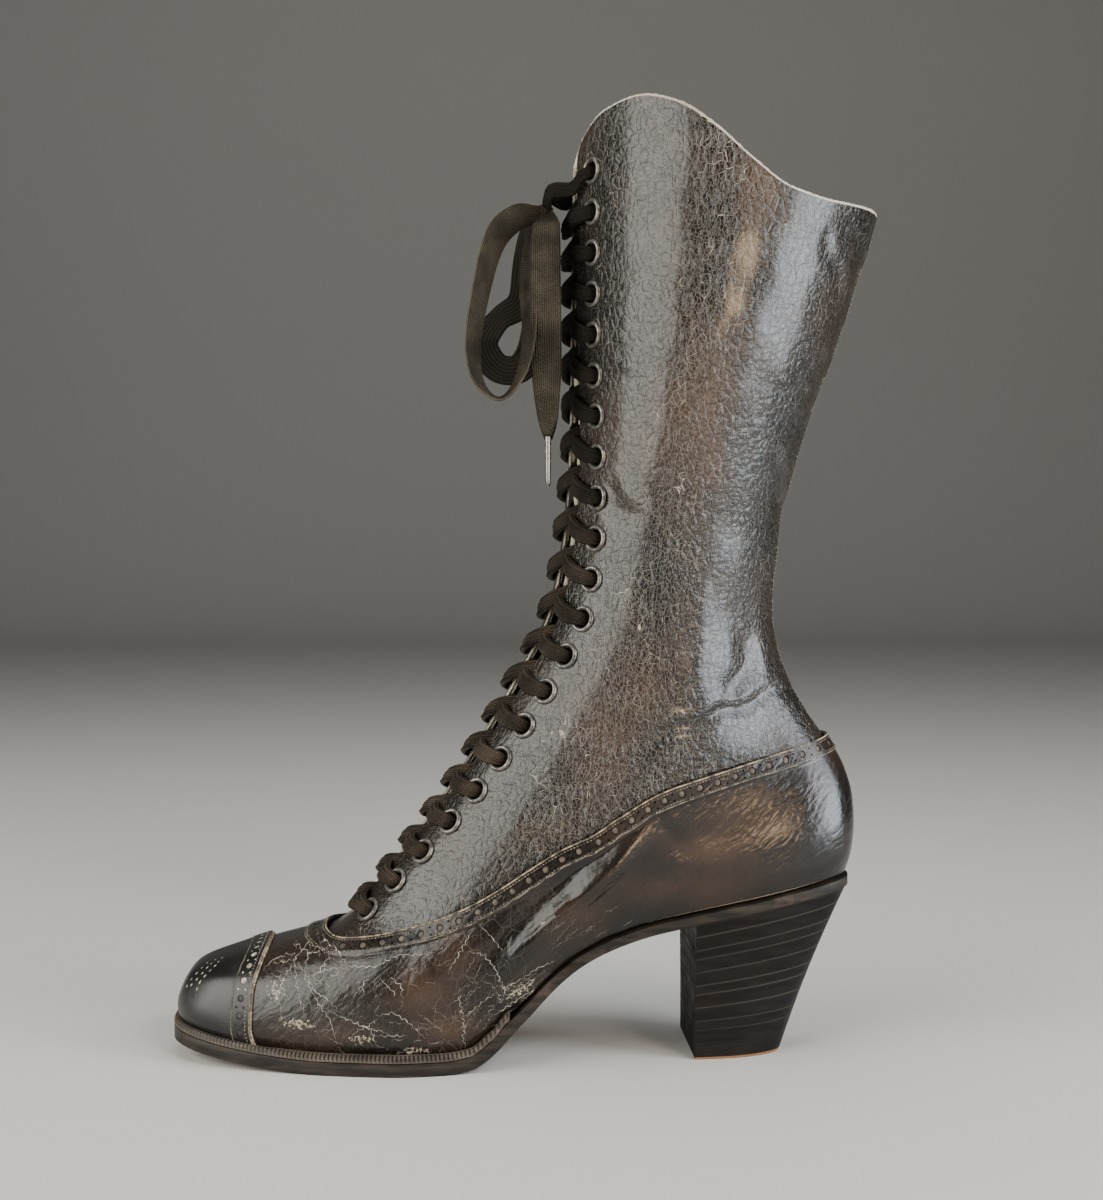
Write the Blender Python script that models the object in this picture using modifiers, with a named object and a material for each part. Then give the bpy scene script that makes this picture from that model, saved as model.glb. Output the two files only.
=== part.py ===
"""A woman's high laced boot for the left foot: brogued leather on a stacked heel.

The toe points to -X, the outer side of the foot to -Y and the shaft to +Z. The boot stands on z = 0.
The tables below are in millimetres and the finished objects in metres.
"""

import math
from functools import lru_cache

import bmesh
import bpy
from mathutils import Matrix, Vector

MM = 0.001
MERGE = 0.00002  # points closer than this, in metres, are one

# Driving sizes, mm
CLEARANCE = 0.35  # between pieces that meet
SEAT_CLEARANCE = 0.55  # where curved faces bend across each other
WALL = 2.0  # quarter leather and lining together
VAMP_THICKNESS = 0.9
CAP_THICKNESS = 0.8
TONGUE_THICKNESS = 1.6
TONGUE_HALF_WIDTH = 25.0
INSOLE_THICKNESS = 2.4
WELT_THICKNESS = 2.3
FACING_HALF_GAP = 4.0  # each facing edge lies this far from the middle of the throat
EYELET_HALF_SPAN = 13.2  # each eyelet row lies this far from the middle of the throat
EYELETS_A_SIDE = 21
EYELET_HOLE_RADIUS = 3.0
EYELET_RIM_RADIUS = 4.6
EYELET_RIM_HEIGHT = 0.75
EYELET_BARREL = 0.55  # thickness of the eyelet's tube
EYELET_TAPER = 0.2  # how much the tube narrows to its foot
EYELET_SIDES = 6
LACE_RADIUS = 1.15
LACE_OVER_EYELET = 4.2  # the lace's middle above the leather
LACE_OVER_THROAT = 2.9
LACE_OVER_LACE = 2.6  # where one crosses the other
LACE_RIDGE = 6.0  # from the throat's middle to the inner facing's ridge
LACE_SLANT = 0.2  # how far up its row a crossing meets the ridge, from half way
LACE_SIDES = 4
BOW_LACE_RADIUS = 1.6
BOW_SIDES = 8
LOOP_PIECES = 16
END_PIECES = 8
TAG_RADIUS = 1.3
HEEL_BREAST_X = 60.0
HEEL_LIFTS = 10
HEEL_GROOVE = 0.45
HEEL_SEAM_SHARE = 0.012  # height of a groove, as a share of the heel's height
HEEL_BOTTOM_LENGTH_SHARE = 0.58  # of the seat's length
HEEL_BOTTOM_WIDTH_SHARE = 0.88  # of the seat's width
HEEL_SEAT_INSET = 0.8
HEEL_HOLLOW = 0.02  # how far its sides curve in half way up, as a share of the seat
HEEL_MIDDLE = 26.0  # from the breast to the middle of the seat
HEEL_POINTS = 12
TOP_PIECE_SHARE = 0.11  # of the heel's height
TOP_PIECE_CHAMFER = 0.3

# Mesh density: the columns' places round the foot, from the toe along the outer side to the heel, in degrees,
# and the rows' places up the upper, in levels
COLUMN_DEGREES = (
    0, 2, 7.5, 16, 26, 37, 48, 59, 69, 79, 88, 97, 107, 118, 131, 145, 159, 171, 178, 180,
)
SIDE_COLUMNS = len(COLUMN_DEGREES) - 1
CAP_SIDE_COLUMNS = 6
CAP_CREST_SHARES = (0.3, 0.55, 0.75, 0.9, 0.975, 1.0)  # extra rows where the cap narrows to its crest
WELT_SIDE_COLUMNS = 10
ROW_LEVELS = [k / 2 for k in range(13)] + [7.0, 7.5, 8.0, 9.0, 10.0, 11.0, 12.0]

# Underside of the outsole along the foot: (x, height)
TREAD_LINE = (
    (-130.0, 6.5),
    (-112.0, 3.6),
    (-92.0, 1.2),
    (-72.0, 0.0),
    (-30.0, 0.0),
    (-20.0, 1.3),
    (-12.0, 6.2),
    (-6.0, 12.4),
    (1.0, 19.2),
    (11.0, 29.2),
    (20.0, 36.0),
    (30.0, 41.0),
    (44.0, 45.6),
    (HEEL_BREAST_X, 49.0),
    (90.0, 54.8),
    (122.0, 61.2),
)
# Outsole thickness along the foot: (x, thickness)
OUTSOLE_LINE = ((-130.0, 4.6), (-24.0, 4.6), (10.0, 3.4), (122.0, 3.4))
# Edge of the outsole outside the feather line: (share of the foot's length, margin)
SOLE_MARGIN = ((0.0, 6.0), (0.3, 6.2), (0.45, 5.2), (0.58, 3.0), (1.0, 2.8))
# Inner edge of the welt outside the feather line, clear of the cap and vamp: (x, margin)
WELT_INNER_MARGIN = ((-130.0, 4.2), (-94.0, 4.2), (-84.0, 3.0), (0.0, 3.0))
# Sideways swing of the last, positive to the inner side of the foot: (x, swing)
SWING_LINE = ((-128.0, 7.0), (-95.0, 3.5), (-55.0, 0.0), (10.0, -3.0), (60.0, -0.5), (122.0, 0.0))
# Top edge of the collar, which waves down to the back: (x, height)
COLLAR_LINE = (
    (17.0, 317.0),
    (20.6, 328.5),
    (27.0, 335.8),
    (38.0, 338.5),
    (50.0, 335.0),
    (62.0, 327.0),
    (76.0, 315.0),
    (90.0, 306.0),
    (108.0, 302.5),
    (128.0, 302.0),
)
# The outer surface of the upper, one row for each level from the feather line up to the collar.
# front and back are the level's ends in the side view; fore, mid and rear are half widths along it;
# nose and tail say how round its ends are (1 is an ellipse, less is fuller, more is sharper); sole, swing
# and wave are the shares of the sole's curve, of the last's swing and of the collar's wave that the level
# follows; turn is how far the throat's middle lies to the outer side.
LEVEL_COLUMNS = (
    "front_x", "front_z", "back_x", "back_z", "fore", "mid", "rear",
    "nose", "tail", "sole", "swing", "wave", "turn",
)
LEVELS = {
    "feather": (-121.6, 11.0, 115.4, 64.0, 34.0, 23.0, 27.0, 0.60, 0.55, 1.00, 1.0, 0.0, 0.0),
    "toe_bulge": (-123.8, 18.0, 118.2, 73.0, 36.4, 26.5, 29.5, 0.60, 0.55, 0.93, 1.0, 0.0, 0.0),
    "toe_crown": (-119.6, 28.2, 119.2, 83.0, 36.0, 29.0, 29.8, 0.61, 0.58, 0.84, 1.0, 0.0, 0.0),
    "cap_top": (-101.5, 36.0, 118.6, 92.5, 34.4, 30.2, 28.6, 0.64, 0.62, 0.66, 0.9, 0.0, 0.0),
    "throat": (-68.5, 46.4, 115.8, 102.5, 32.6, 30.6, 27.0, 0.66, 0.68, 0.42, 0.7, 0.0, 0.0),
    "low_instep": (-47.0, 70.0, 110.6, 112.0, 31.2, 30.6, 25.2, 0.80, 0.74, 0.26, 0.4, 0.0, 1.5),
    "instep": (-26.0, 98.5, 103.4, 122.0, 30.6, 30.4, 23.6, 1.00, 0.84, 0.13, 0.2, 0.0, 3.5),
    "ankle_bend": (-5.0, 133.0, 95.0, 138.0, 30.6, 30.4, 23.4, 1.20, 0.92, 0.05, 0.1, 0.0, 5.5),
    "ankle": (8.6, 161.0, 90.0, 159.0, 31.0, 30.4, 26.0, 1.40, 1.00, 0.0, 0.0, 0.0, 6.5),
    "above_ankle": (14.4, 193.0, 92.2, 188.0, 33.6, 32.4, 30.4, 1.60, 1.00, 0.0, 0.0, 0.0, 5.5),
    "low_calf": (16.4, 228.0, 101.0, 223.0, 39.0, 37.4, 35.6, 1.75, 1.00, 0.0, 0.0, 0.0, 3.5),
    "calf": (16.2, 266.0, 113.6, 258.0, 44.4, 42.4, 40.4, 1.75, 1.00, 0.0, 0.0, 0.15, 2.0),
    "collar": (17.0, 317.0, 127.6, 302.0, 47.0, 45.4, 43.4, 1.60, 1.00, 0.0, 0.0, 1.0, 1.0),
}
THROAT_LEVEL = list(LEVELS).index("throat")
TOP_LEVEL = len(LEVELS) - 1
WIDTH_STATIONS = (0.30, 0.58, 0.86)  # shares of the length where fore, mid and rear are taken
BALL_SKEW = 0.02  # the inner ball lies ahead of the outer one, as a share of the length
# Top edge of the vamp and foxing: (share of the foot's length, level)
FOXING_SEAM = (
    (0.0, 3.90),
    (0.06, 3.76),
    (0.20, 4.18),
    (0.36, 5.0),
    (0.58, 5.22),
    (0.80, 5.22),
    (1.0, 5.22),
)
VAMP_LOWEST_LEVEL = 0.22
VAMP_HIGHEST_LEVEL = 6.0
# Back edge of the toe cap: (level, x)
CAP_SEAM = ((VAMP_LOWEST_LEVEL, -95.5), (1.0, -97.0), (2.0, -96.4), (3.5, -91.5))
FIRST_EYELET_LEVEL = 4.36
LAST_EYELET_LEVEL = 11.75
THROAT_OPENING = 0.5  # levels over which the throat widens from its point to its full gap
TONGUE_LEVELS = (4.12, 12.0)
TONGUE_COLUMNS = 6
TONGUE_ROWS = 16

# Where the lace's bow hangs, mm
KNOT_CENTRE = Vector((6.2, -1.5, 301.0))
KNOT_RADII = Vector((4.4, 5.4, 5.0))
KNOT_SEGMENTS = 10
KNOT_RINGS = 6
LACE_TAIL = Vector((1.0, 3.0, 4.7))  # where the crossings stop above the knot, from its centre
# Each bow loop leaves the knot and returns to it: (forward, sideways, up) from the knot's centre
LOOP_ROUTE = (
    (-2.6, 5.6, 0.6),
    (-10.0, 9.0, -1.0),
    (-18.0, 13.0, -9.0),
    (-23.5, 16.0, -26.0),
    (-27.0, 18.0, -45.0),
    (-24.0, 18.5, -57.0),
    (-16.0, 17.0, -61.5),
    (-8.0, 15.0, -54.0),
    (-4.6, 13.0, -40.0),
    (-5.4, 10.5, -24.0),
    (-3.6, 8.0, -10.0),
    (-1.4, 6.6, -4.0),
)
# Each loose end leaves the knot and hangs down: (forward, sideways, up) from the knot's centre
END_ROUTE = (
    (1.4, 7.0, -2.0),
    (1.0, 11.0, -4.0),
    (0.6, 14.6, -12.0),
    (0.6, 16.4, -30.0),
    (0.8, 17.2, -50.0),
    (1.2, 17.4, -70.0),
    (1.4, 17.4, -78.5),
)
TAG_LENGTH = 17.0

LEATHER_BLACK = (0.016, 0.015, 0.014)
LEATHER_SOLE = (0.045, 0.034, 0.026)
LEATHER_HEEL = (0.022, 0.019, 0.017)
LINING_CREAM = (0.52, 0.45, 0.34)
COTTON_BLACK = (0.035, 0.031, 0.026)
ENAMEL_GREY = (0.22, 0.21, 0.19)
TAG_METAL = (0.42, 0.40, 0.36)


def smooth(points, x):
    """The height at x of a curve through the points that never overshoots them."""
    if x <= points[0][0]:
        return points[0][1]
    if x >= points[-1][0]:
        return points[-1][1]
    slopes = [(b[1] - a[1]) / (b[0] - a[0]) for a, b in zip(points, points[1:])]

    def tangent(i):
        if i == 0:
            return slopes[0]
        if i == len(points) - 1:
            return slopes[-1]
        before, after = slopes[i - 1], slopes[i]
        return 0.0 if before * after <= 0 else 2 * before * after / (before + after)

    i = next(k for k in range(len(slopes)) if x <= points[k + 1][0])
    width = points[i + 1][0] - points[i][0]
    s = (x - points[i][0]) / width
    start = points[i][1] * (1 + 2 * s) * (1 - s) ** 2 + tangent(i) * width * s * (1 - s) ** 2
    end = points[i + 1][1] * s * s * (3 - 2 * s) - tangent(i + 1) * width * s * s * (1 - s)
    return start + end


def mix(a, b, share):
    return a + (b - a) * share


# The sole's layers


def tread(x):
    return smooth(TREAD_LINE, x)


def steepness(x):
    """Upright thickness of a layer for each millimetre of its true thickness."""
    rise = tread(x + 0.5) - tread(x - 0.5)
    return math.sqrt(1 + rise * rise)


def outsole_top(x):
    return tread(x) + smooth(OUTSOLE_LINE, x) * steepness(x)


def feather_height(x):
    return outsole_top(x) + SEAT_CLEARANCE * steepness(x)


# The upper's surface, from the table of levels


@lru_cache(maxsize=None)
def level(t):
    """The sizes of the level at t, where whole numbers are the table's rows."""
    rows = list(LEVELS.values())
    return {
        name: smooth([(k, row[c]) for k, row in enumerate(rows)], t)
        for c, name in enumerate(LEVEL_COLUMNS)
    }


def half_width(row, share, side):
    skew = BALL_SKEW * side
    stations = [(at - skew, row[name]) for at, name in zip(WIDTH_STATIONS, ("fore", "mid", "rear"))]
    width = smooth(stations, share)
    roundness = mix(row["nose"], row["tail"], share)
    return width * max(0.0, 4 * share * (1 - share)) ** (roundness / 2)


def upper_point(t, angle):
    """The outer surface of the upper: angle 0 is the front, pi / 2 the outer side and pi the back."""
    row = level(t)
    share = (1 - math.cos(angle)) / 2
    side = 1 if math.sin(angle) < 0 else -1
    x = mix(row["front_x"], row["back_x"], share)
    first = level(0)
    sole_x = mix(first["front_x"], first["back_x"], share)
    sole_curve = feather_height(sole_x) - mix(first["front_z"], first["back_z"], share)
    last = level(TOP_LEVEL)
    wave = smooth(COLLAR_LINE, mix(last["front_x"], last["back_x"], share))
    wave -= mix(last["front_z"], last["back_z"], share)
    z = mix(row["front_z"], row["back_z"], share) + row["sole"] * sole_curve + row["wave"] * wave
    y = row["swing"] * smooth(SWING_LINE, x) + side * half_width(row, share, side)
    return Vector((x, y, z))


def upper_normal(t, angle):
    step_t, step_angle = 0.02, 0.01
    low, high = max(0.0, t - step_t), min(float(TOP_LEVEL), t + step_t)
    around = upper_point(t, angle + step_angle) - upper_point(t, angle - step_angle)
    up = upper_point(high, angle) - upper_point(low, angle)
    return around.cross(up).normalized()


@lru_cache(maxsize=None)
def angle_at_span(t, span):
    """The angle at which level t is span millimetres from its own middle, in front."""
    row = level(t)
    low, high = 0.0, math.pi / 2
    for _ in range(40):
        middle = (low + high) / 2
        if half_width(row, (1 - math.cos(middle)) / 2, -1) < span:
            low = middle
        else:
            high = middle
    return high


def throat_angle(t, offset):
    """The angle at offset millimetres from the throat's middle, positive to the outer side."""
    span = level(t)["turn"] + offset
    return math.copysign(angle_at_span(t, abs(span)), span)


def station_angle(column):
    """The angle of a column, counted from the toe round the outer side; below 0 on the inner side."""
    if column < 0:
        return -station_angle(-column)
    if column > SIDE_COLUMNS:
        return 2 * math.pi - station_angle(2 * SIDE_COLUMNS - column)
    return math.radians(COLUMN_DEGREES[column])


def facing_angles(t):
    """Where the wall starts and ends round level t: at its facings, or at the closed front below."""
    if t <= THROAT_LEVEL:
        return 0.0, 2 * math.pi
    half_gap = FACING_HALF_GAP * math.sqrt(min(1.0, (t - THROAT_LEVEL) / THROAT_OPENING))
    return throat_angle(t, half_gap), 2 * math.pi + throat_angle(t, -half_gap)


@lru_cache(maxsize=None)
def grid_point(t, column):
    start, end = facing_angles(t)
    return upper_point(t, mix(start, end, station_angle(column) / (2 * math.pi)))


def face_point(t, angle):
    """The point at t and angle on the upper's flat faces, between its rows and columns."""
    start, end = facing_angles(t)
    turn = 2 * math.pi * min(1.0, max(0.0, ((angle - start) % (2 * math.pi)) / (end - start)))
    column = next(k for k in range(2 * SIDE_COLUMNS) if turn <= station_angle(k + 1) + 1e-9)
    along = (turn - station_angle(column)) / (station_angle(column + 1) - station_angle(column))
    row = next(k for k in range(len(ROW_LEVELS) - 1) if t <= ROW_LEVELS[k + 1] + 1e-9)
    low, high = ROW_LEVELS[row], ROW_LEVELS[row + 1]
    below = grid_point(low, column).lerp(grid_point(low, column + 1), along)
    above = grid_point(high, column).lerp(grid_point(high, column + 1), along)
    return below.lerp(above, (t - low) / (high - low))


def lifted(t, angle, height):
    """A point above the upper's flat faces, or below them."""
    return face_point(t, angle) + upper_normal(t, angle) * height


# Blender helpers


def clear_scene():
    for obj in list(bpy.data.objects):
        bpy.data.objects.remove(obj)


def new_collection(name):
    collection = bpy.data.collections.new(name)
    bpy.context.scene.collection.children.link(collection)
    return collection


def new_material(name, colour, roughness, metallic=0.0):
    material = bpy.data.materials.new(name)
    material.use_nodes = True
    shader = material.node_tree.nodes["Principled BSDF"]
    shader.inputs["Base Color"].default_value = (*colour, 1.0)
    shader.inputs["Roughness"].default_value = roughness
    shader.inputs["Metallic"].default_value = metallic
    return material


def add_object(name, data, material, collection):
    obj = bpy.data.objects.new(name, data)
    data.materials.append(material)
    collection.objects.link(obj)
    return obj


def mesh_from(name, bm):
    mesh = bpy.data.meshes.new(name)
    bm.to_mesh(mesh)
    bm.free()
    mesh.shade_smooth()
    mesh.set_sharp_from_angle(angle=math.radians(40))
    return mesh


def sheet(columns, rows, place):
    """A grid with its points moved to place(column, row), without its collapsed faces."""
    bm = bmesh.new()
    bmesh.ops.create_grid(bm, x_segments=columns, y_segments=rows, size=1.0)
    for vertex in bm.verts:
        column = round((vertex.co.x + 1) / 2 * columns)
        row = round((vertex.co.y + 1) / 2 * rows)
        vertex.co = place(column, row) * MM
    bmesh.ops.remove_doubles(bm, verts=bm.verts, dist=MERGE)
    bmesh.ops.dissolve_degenerate(bm, edges=bm.edges, dist=MERGE / 2)
    return bm


def add_shell(name, bm, thickness, outward, material, collection):
    """The sheet given a wall thickness, on its outer side or on its inner side."""
    obj = add_object(name, mesh_from(name, bm), material, collection)
    solidify = obj.modifiers.new("wall", "SOLIDIFY")
    solidify.thickness = thickness * MM
    solidify.offset = 1.0 if outward else -1.0
    solidify.use_even_offset = True
    return obj


def slab(columns, low, high):
    """A closed layer, one face wide, between low(column, edge) and high(column, edge)."""
    bm = sheet(columns, 1, low)
    digits = 5
    tops = {}
    for column in range(columns + 1):
        for edge in (0, 1):
            key = tuple(round(c, digits) for c in low(column, edge) * MM)
            tops[key] = high(column, edge) * MM
    extruded = bmesh.ops.extrude_face_region(bm, geom=bm.faces[:])
    for element in extruded["geom"]:
        if isinstance(element, bmesh.types.BMVert):
            element.co = tops[tuple(round(c, digits) for c in element.co)]
    bmesh.ops.recalc_face_normals(bm, faces=bm.faces)
    return bm


def add_cord(name, points, radius, sides, material, collection):
    """A tube along the points, with round sides and closed ends."""
    curve = bpy.data.curves.new(name, "CURVE")
    curve.dimensions = "3D"
    spline = curve.splines.new("POLY")
    spline.points.add(len(points) - 1)
    for control, point in zip(spline.points, points):
        control.co = (*(point * MM), 1.0)
    curve.bevel_depth = radius * MM
    curve.bevel_resolution = (sides - 4) // 2
    curve.use_fill_caps = True
    return add_object(name, curve, material, collection)


def hide_tool(obj):
    obj.hide_render = True
    obj.display_type = "WIRE"


def add_boolean(obj, tool, operation):
    modifier = obj.modifiers.new(operation.lower(), "BOOLEAN")
    modifier.operation = operation
    modifier.object = tool
    modifier.solver = "EXACT"


def flowing(route, pieces):
    """Points along a smooth curve through the route's own points."""
    steps = range(len(route))
    axes = [[(k, point[axis]) for k, point in zip(steps, route)] for axis in range(3)]
    last = len(route) - 1
    return [Vector([smooth(axis, last * k / pieces) for axis in axes]) for k in range(pieces + 1)]


# Upper and the leather laid over it


def add_upper(material, collection):
    def place(column, row):
        return grid_point(ROW_LEVELS[row], column)

    bm = sheet(2 * SIDE_COLUMNS, len(ROW_LEVELS) - 1, place)
    return add_shell("upper", bm, WALL, False, material, collection)


def foxing_level(angle):
    return smooth(FOXING_SEAM, (1 - math.cos(angle)) / 2)


def add_vamp_foxing(material, collection):
    rows = [max(VAMP_LOWEST_LEVEL, t) for t in ROW_LEVELS if t <= VAMP_HIGHEST_LEVEL]

    def place(column, row):
        t = min(rows[row], foxing_level(station_angle(column)))
        start, end = facing_angles(t)
        return lifted(t, mix(start, end, station_angle(column) / (2 * math.pi)), CLEARANCE)

    bm = sheet(2 * SIDE_COLUMNS, len(rows) - 1, place)
    return add_shell("vamp_foxing", bm, VAMP_THICKNESS, True, material, collection)


@lru_cache(maxsize=None)
def cap_top_level():
    """The level whose front lies at the cap's seam."""
    low, high = 1.0, float(THROAT_LEVEL)
    for _ in range(40):
        middle = (low + high) / 2
        if upper_point(middle, 0.0).x < smooth(CAP_SEAM, middle):
            low = middle
        else:
            high = middle
    return low


@lru_cache(maxsize=None)
def cap_edge_angle(t):
    """The angle at which level t meets the cap's seam."""
    row = level(t)
    share = (smooth(CAP_SEAM, t) - row["front_x"]) / (row["back_x"] - row["front_x"])
    return math.acos(1 - 2 * min(1.0, max(0.0, share)))


def add_toe_cap(material, collection):
    height = CLEARANCE + VAMP_THICKNESS + SEAT_CLEARANCE
    rows = [max(VAMP_LOWEST_LEVEL, t) for t in ROW_LEVELS if t < cap_top_level()]
    rows += [mix(rows[-1], cap_top_level(), share) for share in CAP_CREST_SHARES]

    def place(column, row):
        edge = cap_edge_angle(rows[row])
        angle = station_angle(column - CAP_SIDE_COLUMNS)
        return lifted(rows[row], max(-edge, min(edge, angle)), height)

    bm = sheet(2 * CAP_SIDE_COLUMNS, len(rows) - 1, place)
    return add_shell("toe_cap", bm, CAP_THICKNESS, True, material, collection)


def add_tongue(material, collection):
    depth = WALL + SEAT_CLEARANCE

    def place(column, row):
        t = mix(*TONGUE_LEVELS, row / TONGUE_ROWS)
        inner = throat_angle(t, -TONGUE_HALF_WIDTH)
        angle = mix(inner, throat_angle(t, TONGUE_HALF_WIDTH), column / TONGUE_COLUMNS)
        return upper_point(t, angle) - upper_normal(t, angle) * depth

    bm = sheet(TONGUE_COLUMNS, TONGUE_ROWS, place)
    return add_shell("tongue", bm, TONGUE_THICKNESS, False, material, collection)


# Sole and heel


def feather_edge(angle, margin):
    """A point in plan, margin millimetres outside the upper's lower edge."""
    step = 0.004
    here = upper_point(0.0, angle)
    along = upper_point(0.0, angle + step) - upper_point(0.0, angle - step)
    outward = Vector((along.y, -along.x)).normalized()
    return Vector((here.x, here.y)) + outward * margin


def sole_edge(angle):
    return feather_edge(angle, smooth(SOLE_MARGIN, (1 - math.cos(angle)) / 2))


def add_layer(name, edge, low, high, material, collection):
    """A layer of the sole within edge(angle), between the heights low(x) and high(x)."""

    def at(height):
        def place(column, side):
            outer, inner = edge(station_angle(column)), edge(-station_angle(column))
            if column in (0, SIDE_COLUMNS):
                inner = outer
            return Vector((*(inner if side else outer), height((outer.x + inner.x) / 2)))

        return place

    bm = slab(SIDE_COLUMNS, at(low), at(high))
    return add_object(name, mesh_from(name, bm), material, collection)


def add_outsole(material, collection):
    return add_layer("outsole", sole_edge, tread, outsole_top, material, collection)


def add_insole(material, collection):
    inset = WALL + 2 * CLEARANCE

    def high(x):
        return feather_height(x) + INSOLE_THICKNESS * steepness(x)

    def edge(angle):
        return feather_edge(angle, -inset)

    return add_layer("insole", edge, feather_height, high, material, collection)


def add_welt(material, collection):
    def at(lift):
        def place(column, side):
            angle = station_angle(column - WELT_SIDE_COLUMNS)
            outer = sole_edge(angle)
            inner = feather_edge(angle, smooth(WELT_INNER_MARGIN, outer.x))
            point = outer if side else inner
            return Vector((*point, outsole_top(point.x) + lift * steepness(point.x)))

        return place

    bm = slab(2 * WELT_SIDE_COLUMNS, at(CLEARANCE), at(CLEARANCE + WELT_THICKNESS))
    return add_object("welt", mesh_from("welt", bm), material, collection)


def heel_outline():
    """The heel's seat in plan, from its outer breast corner round the back to its inner one."""
    first = level(0)
    breast_share = (HEEL_BREAST_X - first["front_x"]) / (first["back_x"] - first["front_x"])
    start = math.acos(1 - 2 * breast_share)
    margin = smooth(SOLE_MARGIN, 1.0) - HEEL_SEAT_INSET
    outline = []
    for k in range(HEEL_POINTS + 1):
        angle = mix(start, 2 * math.pi - start, k / HEEL_POINTS)
        outline.append(feather_edge(angle, margin))
    for corner in (outline[0], outline[-1]):
        corner.x = HEEL_BREAST_X
    return outline


def heel_point(seat, share, inset):
    """A point of the heel's side: seat is its place in the seat's outline, share its height."""
    bow = math.sin(math.pi * share)
    length = mix(HEEL_BOTTOM_LENGTH_SHARE, 1.0, share) - HEEL_HOLLOW * bow
    width = mix(HEEL_BOTTOM_WIDTH_SHARE, 1.0, share) - HEEL_HOLLOW * bow
    shrink = 1 - inset / HEEL_MIDDLE
    run = (seat.x - HEEL_BREAST_X) * length
    x = HEEL_BREAST_X + HEEL_MIDDLE * length + (run - HEEL_MIDDLE * length) * shrink
    return Vector((x, seat.y * width * shrink, share * (tread(seat.x) - CLEARANCE)))


def add_heel_block(name, shares_and_insets, material, collection):
    """A solid through rings of the heel, one for each height share and inset."""
    bm = bmesh.new()
    outline = heel_outline()
    rings = []
    for share, inset in shares_and_insets:
        rings.append([bm.verts.new(heel_point(seat, share, inset) * MM) for seat in outline])
    for low, high in zip(rings, rings[1:]):
        for k in range(len(outline)):
            after = (k + 1) % len(outline)
            bm.faces.new((low[k], low[after], high[after], high[k]))
    bm.faces.new(reversed(rings[0]))
    bm.faces.new(rings[-1])
    bmesh.ops.recalc_face_normals(bm, faces=bm.faces)
    return add_object(name, mesh_from(name, bm), material, collection)


def add_heel(stack_material, piece_material, collection):
    seam = HEEL_SEAM_SHARE
    rings = []
    for lift in range(HEEL_LIFTS):
        low = mix(TOP_PIECE_SHARE + seam, 1.0, lift / HEEL_LIFTS)
        high = mix(TOP_PIECE_SHARE + seam, 1.0, (lift + 1) / HEEL_LIFTS)
        if lift:
            rings.append((low, HEEL_GROOVE))
        rings.append((low + seam / 2 if lift else low, 0.0))
        rings.append((high - seam / 2 if lift < HEEL_LIFTS - 1 else high, 0.0))
    add_heel_block("heel_stack", rings, stack_material, collection)
    piece = ((0.0, TOP_PIECE_CHAMFER), (seam, 0.0), (TOP_PIECE_SHARE, 0.0))
    add_heel_block("heel_top_piece", piece, piece_material, collection)


# Eyelets and lace


def eyelet_levels():
    """Levels of the eyelets, evenly spaced along the facing from the lowest to the highest."""
    steps = 400
    samples = [mix(FIRST_EYELET_LEVEL, LAST_EYELET_LEVEL, k / steps) for k in range(steps + 1)]
    places = [upper_point(t, throat_angle(t, EYELET_HALF_SPAN)) for t in samples]
    travelled = [0.0]
    for a, b in zip(places, places[1:]):
        travelled.append(travelled[-1] + (b - a).length)
    wanted = [travelled[-1] * k / (EYELETS_A_SIDE - 1) for k in range(EYELETS_A_SIDE)]
    return [samples[min(range(steps + 1), key=lambda k: abs(travelled[k] - w))] for w in wanted]


def eyelet_pose(t, side):
    """The place of an eyelet, its own Z along the surface's normal: side is 1 outside, -1 inside."""
    angle = throat_angle(t, side * EYELET_HALF_SPAN)
    turn = upper_normal(t, angle).to_track_quat("Z", "Y").to_matrix().to_4x4()
    return Matrix.Translation(face_point(t, angle) * MM) @ turn


def eyelet_ring_mesh(material):
    """A turned rim with a short tube, about its own Z: the tube goes down through the leather."""
    outside = EYELET_HOLE_RADIUS - CLEARANCE
    seat = 2 * CLEARANCE
    profile = (
        (outside - EYELET_BARREL, seat + EYELET_RIM_HEIGHT),
        (EYELET_RIM_RADIUS, seat),
        (outside, seat),
        (outside - EYELET_TAPER, -WALL),
    )
    bm = bmesh.new()
    points = [bm.verts.new((0.0, radius * MM, height * MM)) for radius, height in profile]
    edges = [bm.edges.new((a, b)) for a, b in zip(points, points[1:] + points[:1])]
    bmesh.ops.spin(
        bm,
        geom=points + edges,
        cent=(0, 0, 0),
        axis=(0, 0, 1),
        angle=2 * math.pi,
        steps=EYELET_SIDES,
        use_merge=True,
    )
    bmesh.ops.remove_doubles(bm, verts=bm.verts, dist=MERGE)
    bmesh.ops.recalc_face_normals(bm, faces=bm.faces)
    mesh = mesh_from("eyelet", bm)
    mesh.materials.append(material)
    return mesh


def add_eyelets(upper, material, collection, tools):
    """The eyelets of both facings, and the holes that they sit in."""
    ring = eyelet_ring_mesh(material)
    drill = bmesh.new()
    for side, facing in ((1, "outer"), (-1, "inner")):
        for number, t in enumerate(eyelet_levels(), 1):
            pose = eyelet_pose(t, side)
            eyelet = bpy.data.objects.new(f"eyelet_{facing}_{number:02d}", ring)
            eyelet.matrix_world = pose
            collection.objects.link(eyelet)
            bmesh.ops.create_cone(
                drill,
                cap_ends=True,
                segments=EYELET_SIDES,
                radius1=EYELET_HOLE_RADIUS * MM,
                radius2=EYELET_HOLE_RADIUS * MM,
                depth=4 * WALL * MM,
                matrix=pose,
            )
    mesh = bpy.data.meshes.new("eyelet_holes")
    drill.to_mesh(mesh)
    drill.free()
    cutter = add_object("eyelet_holes", mesh, material, tools)
    hide_tool(cutter)
    add_boolean(upper, cutter, "DIFFERENCE")


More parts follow.
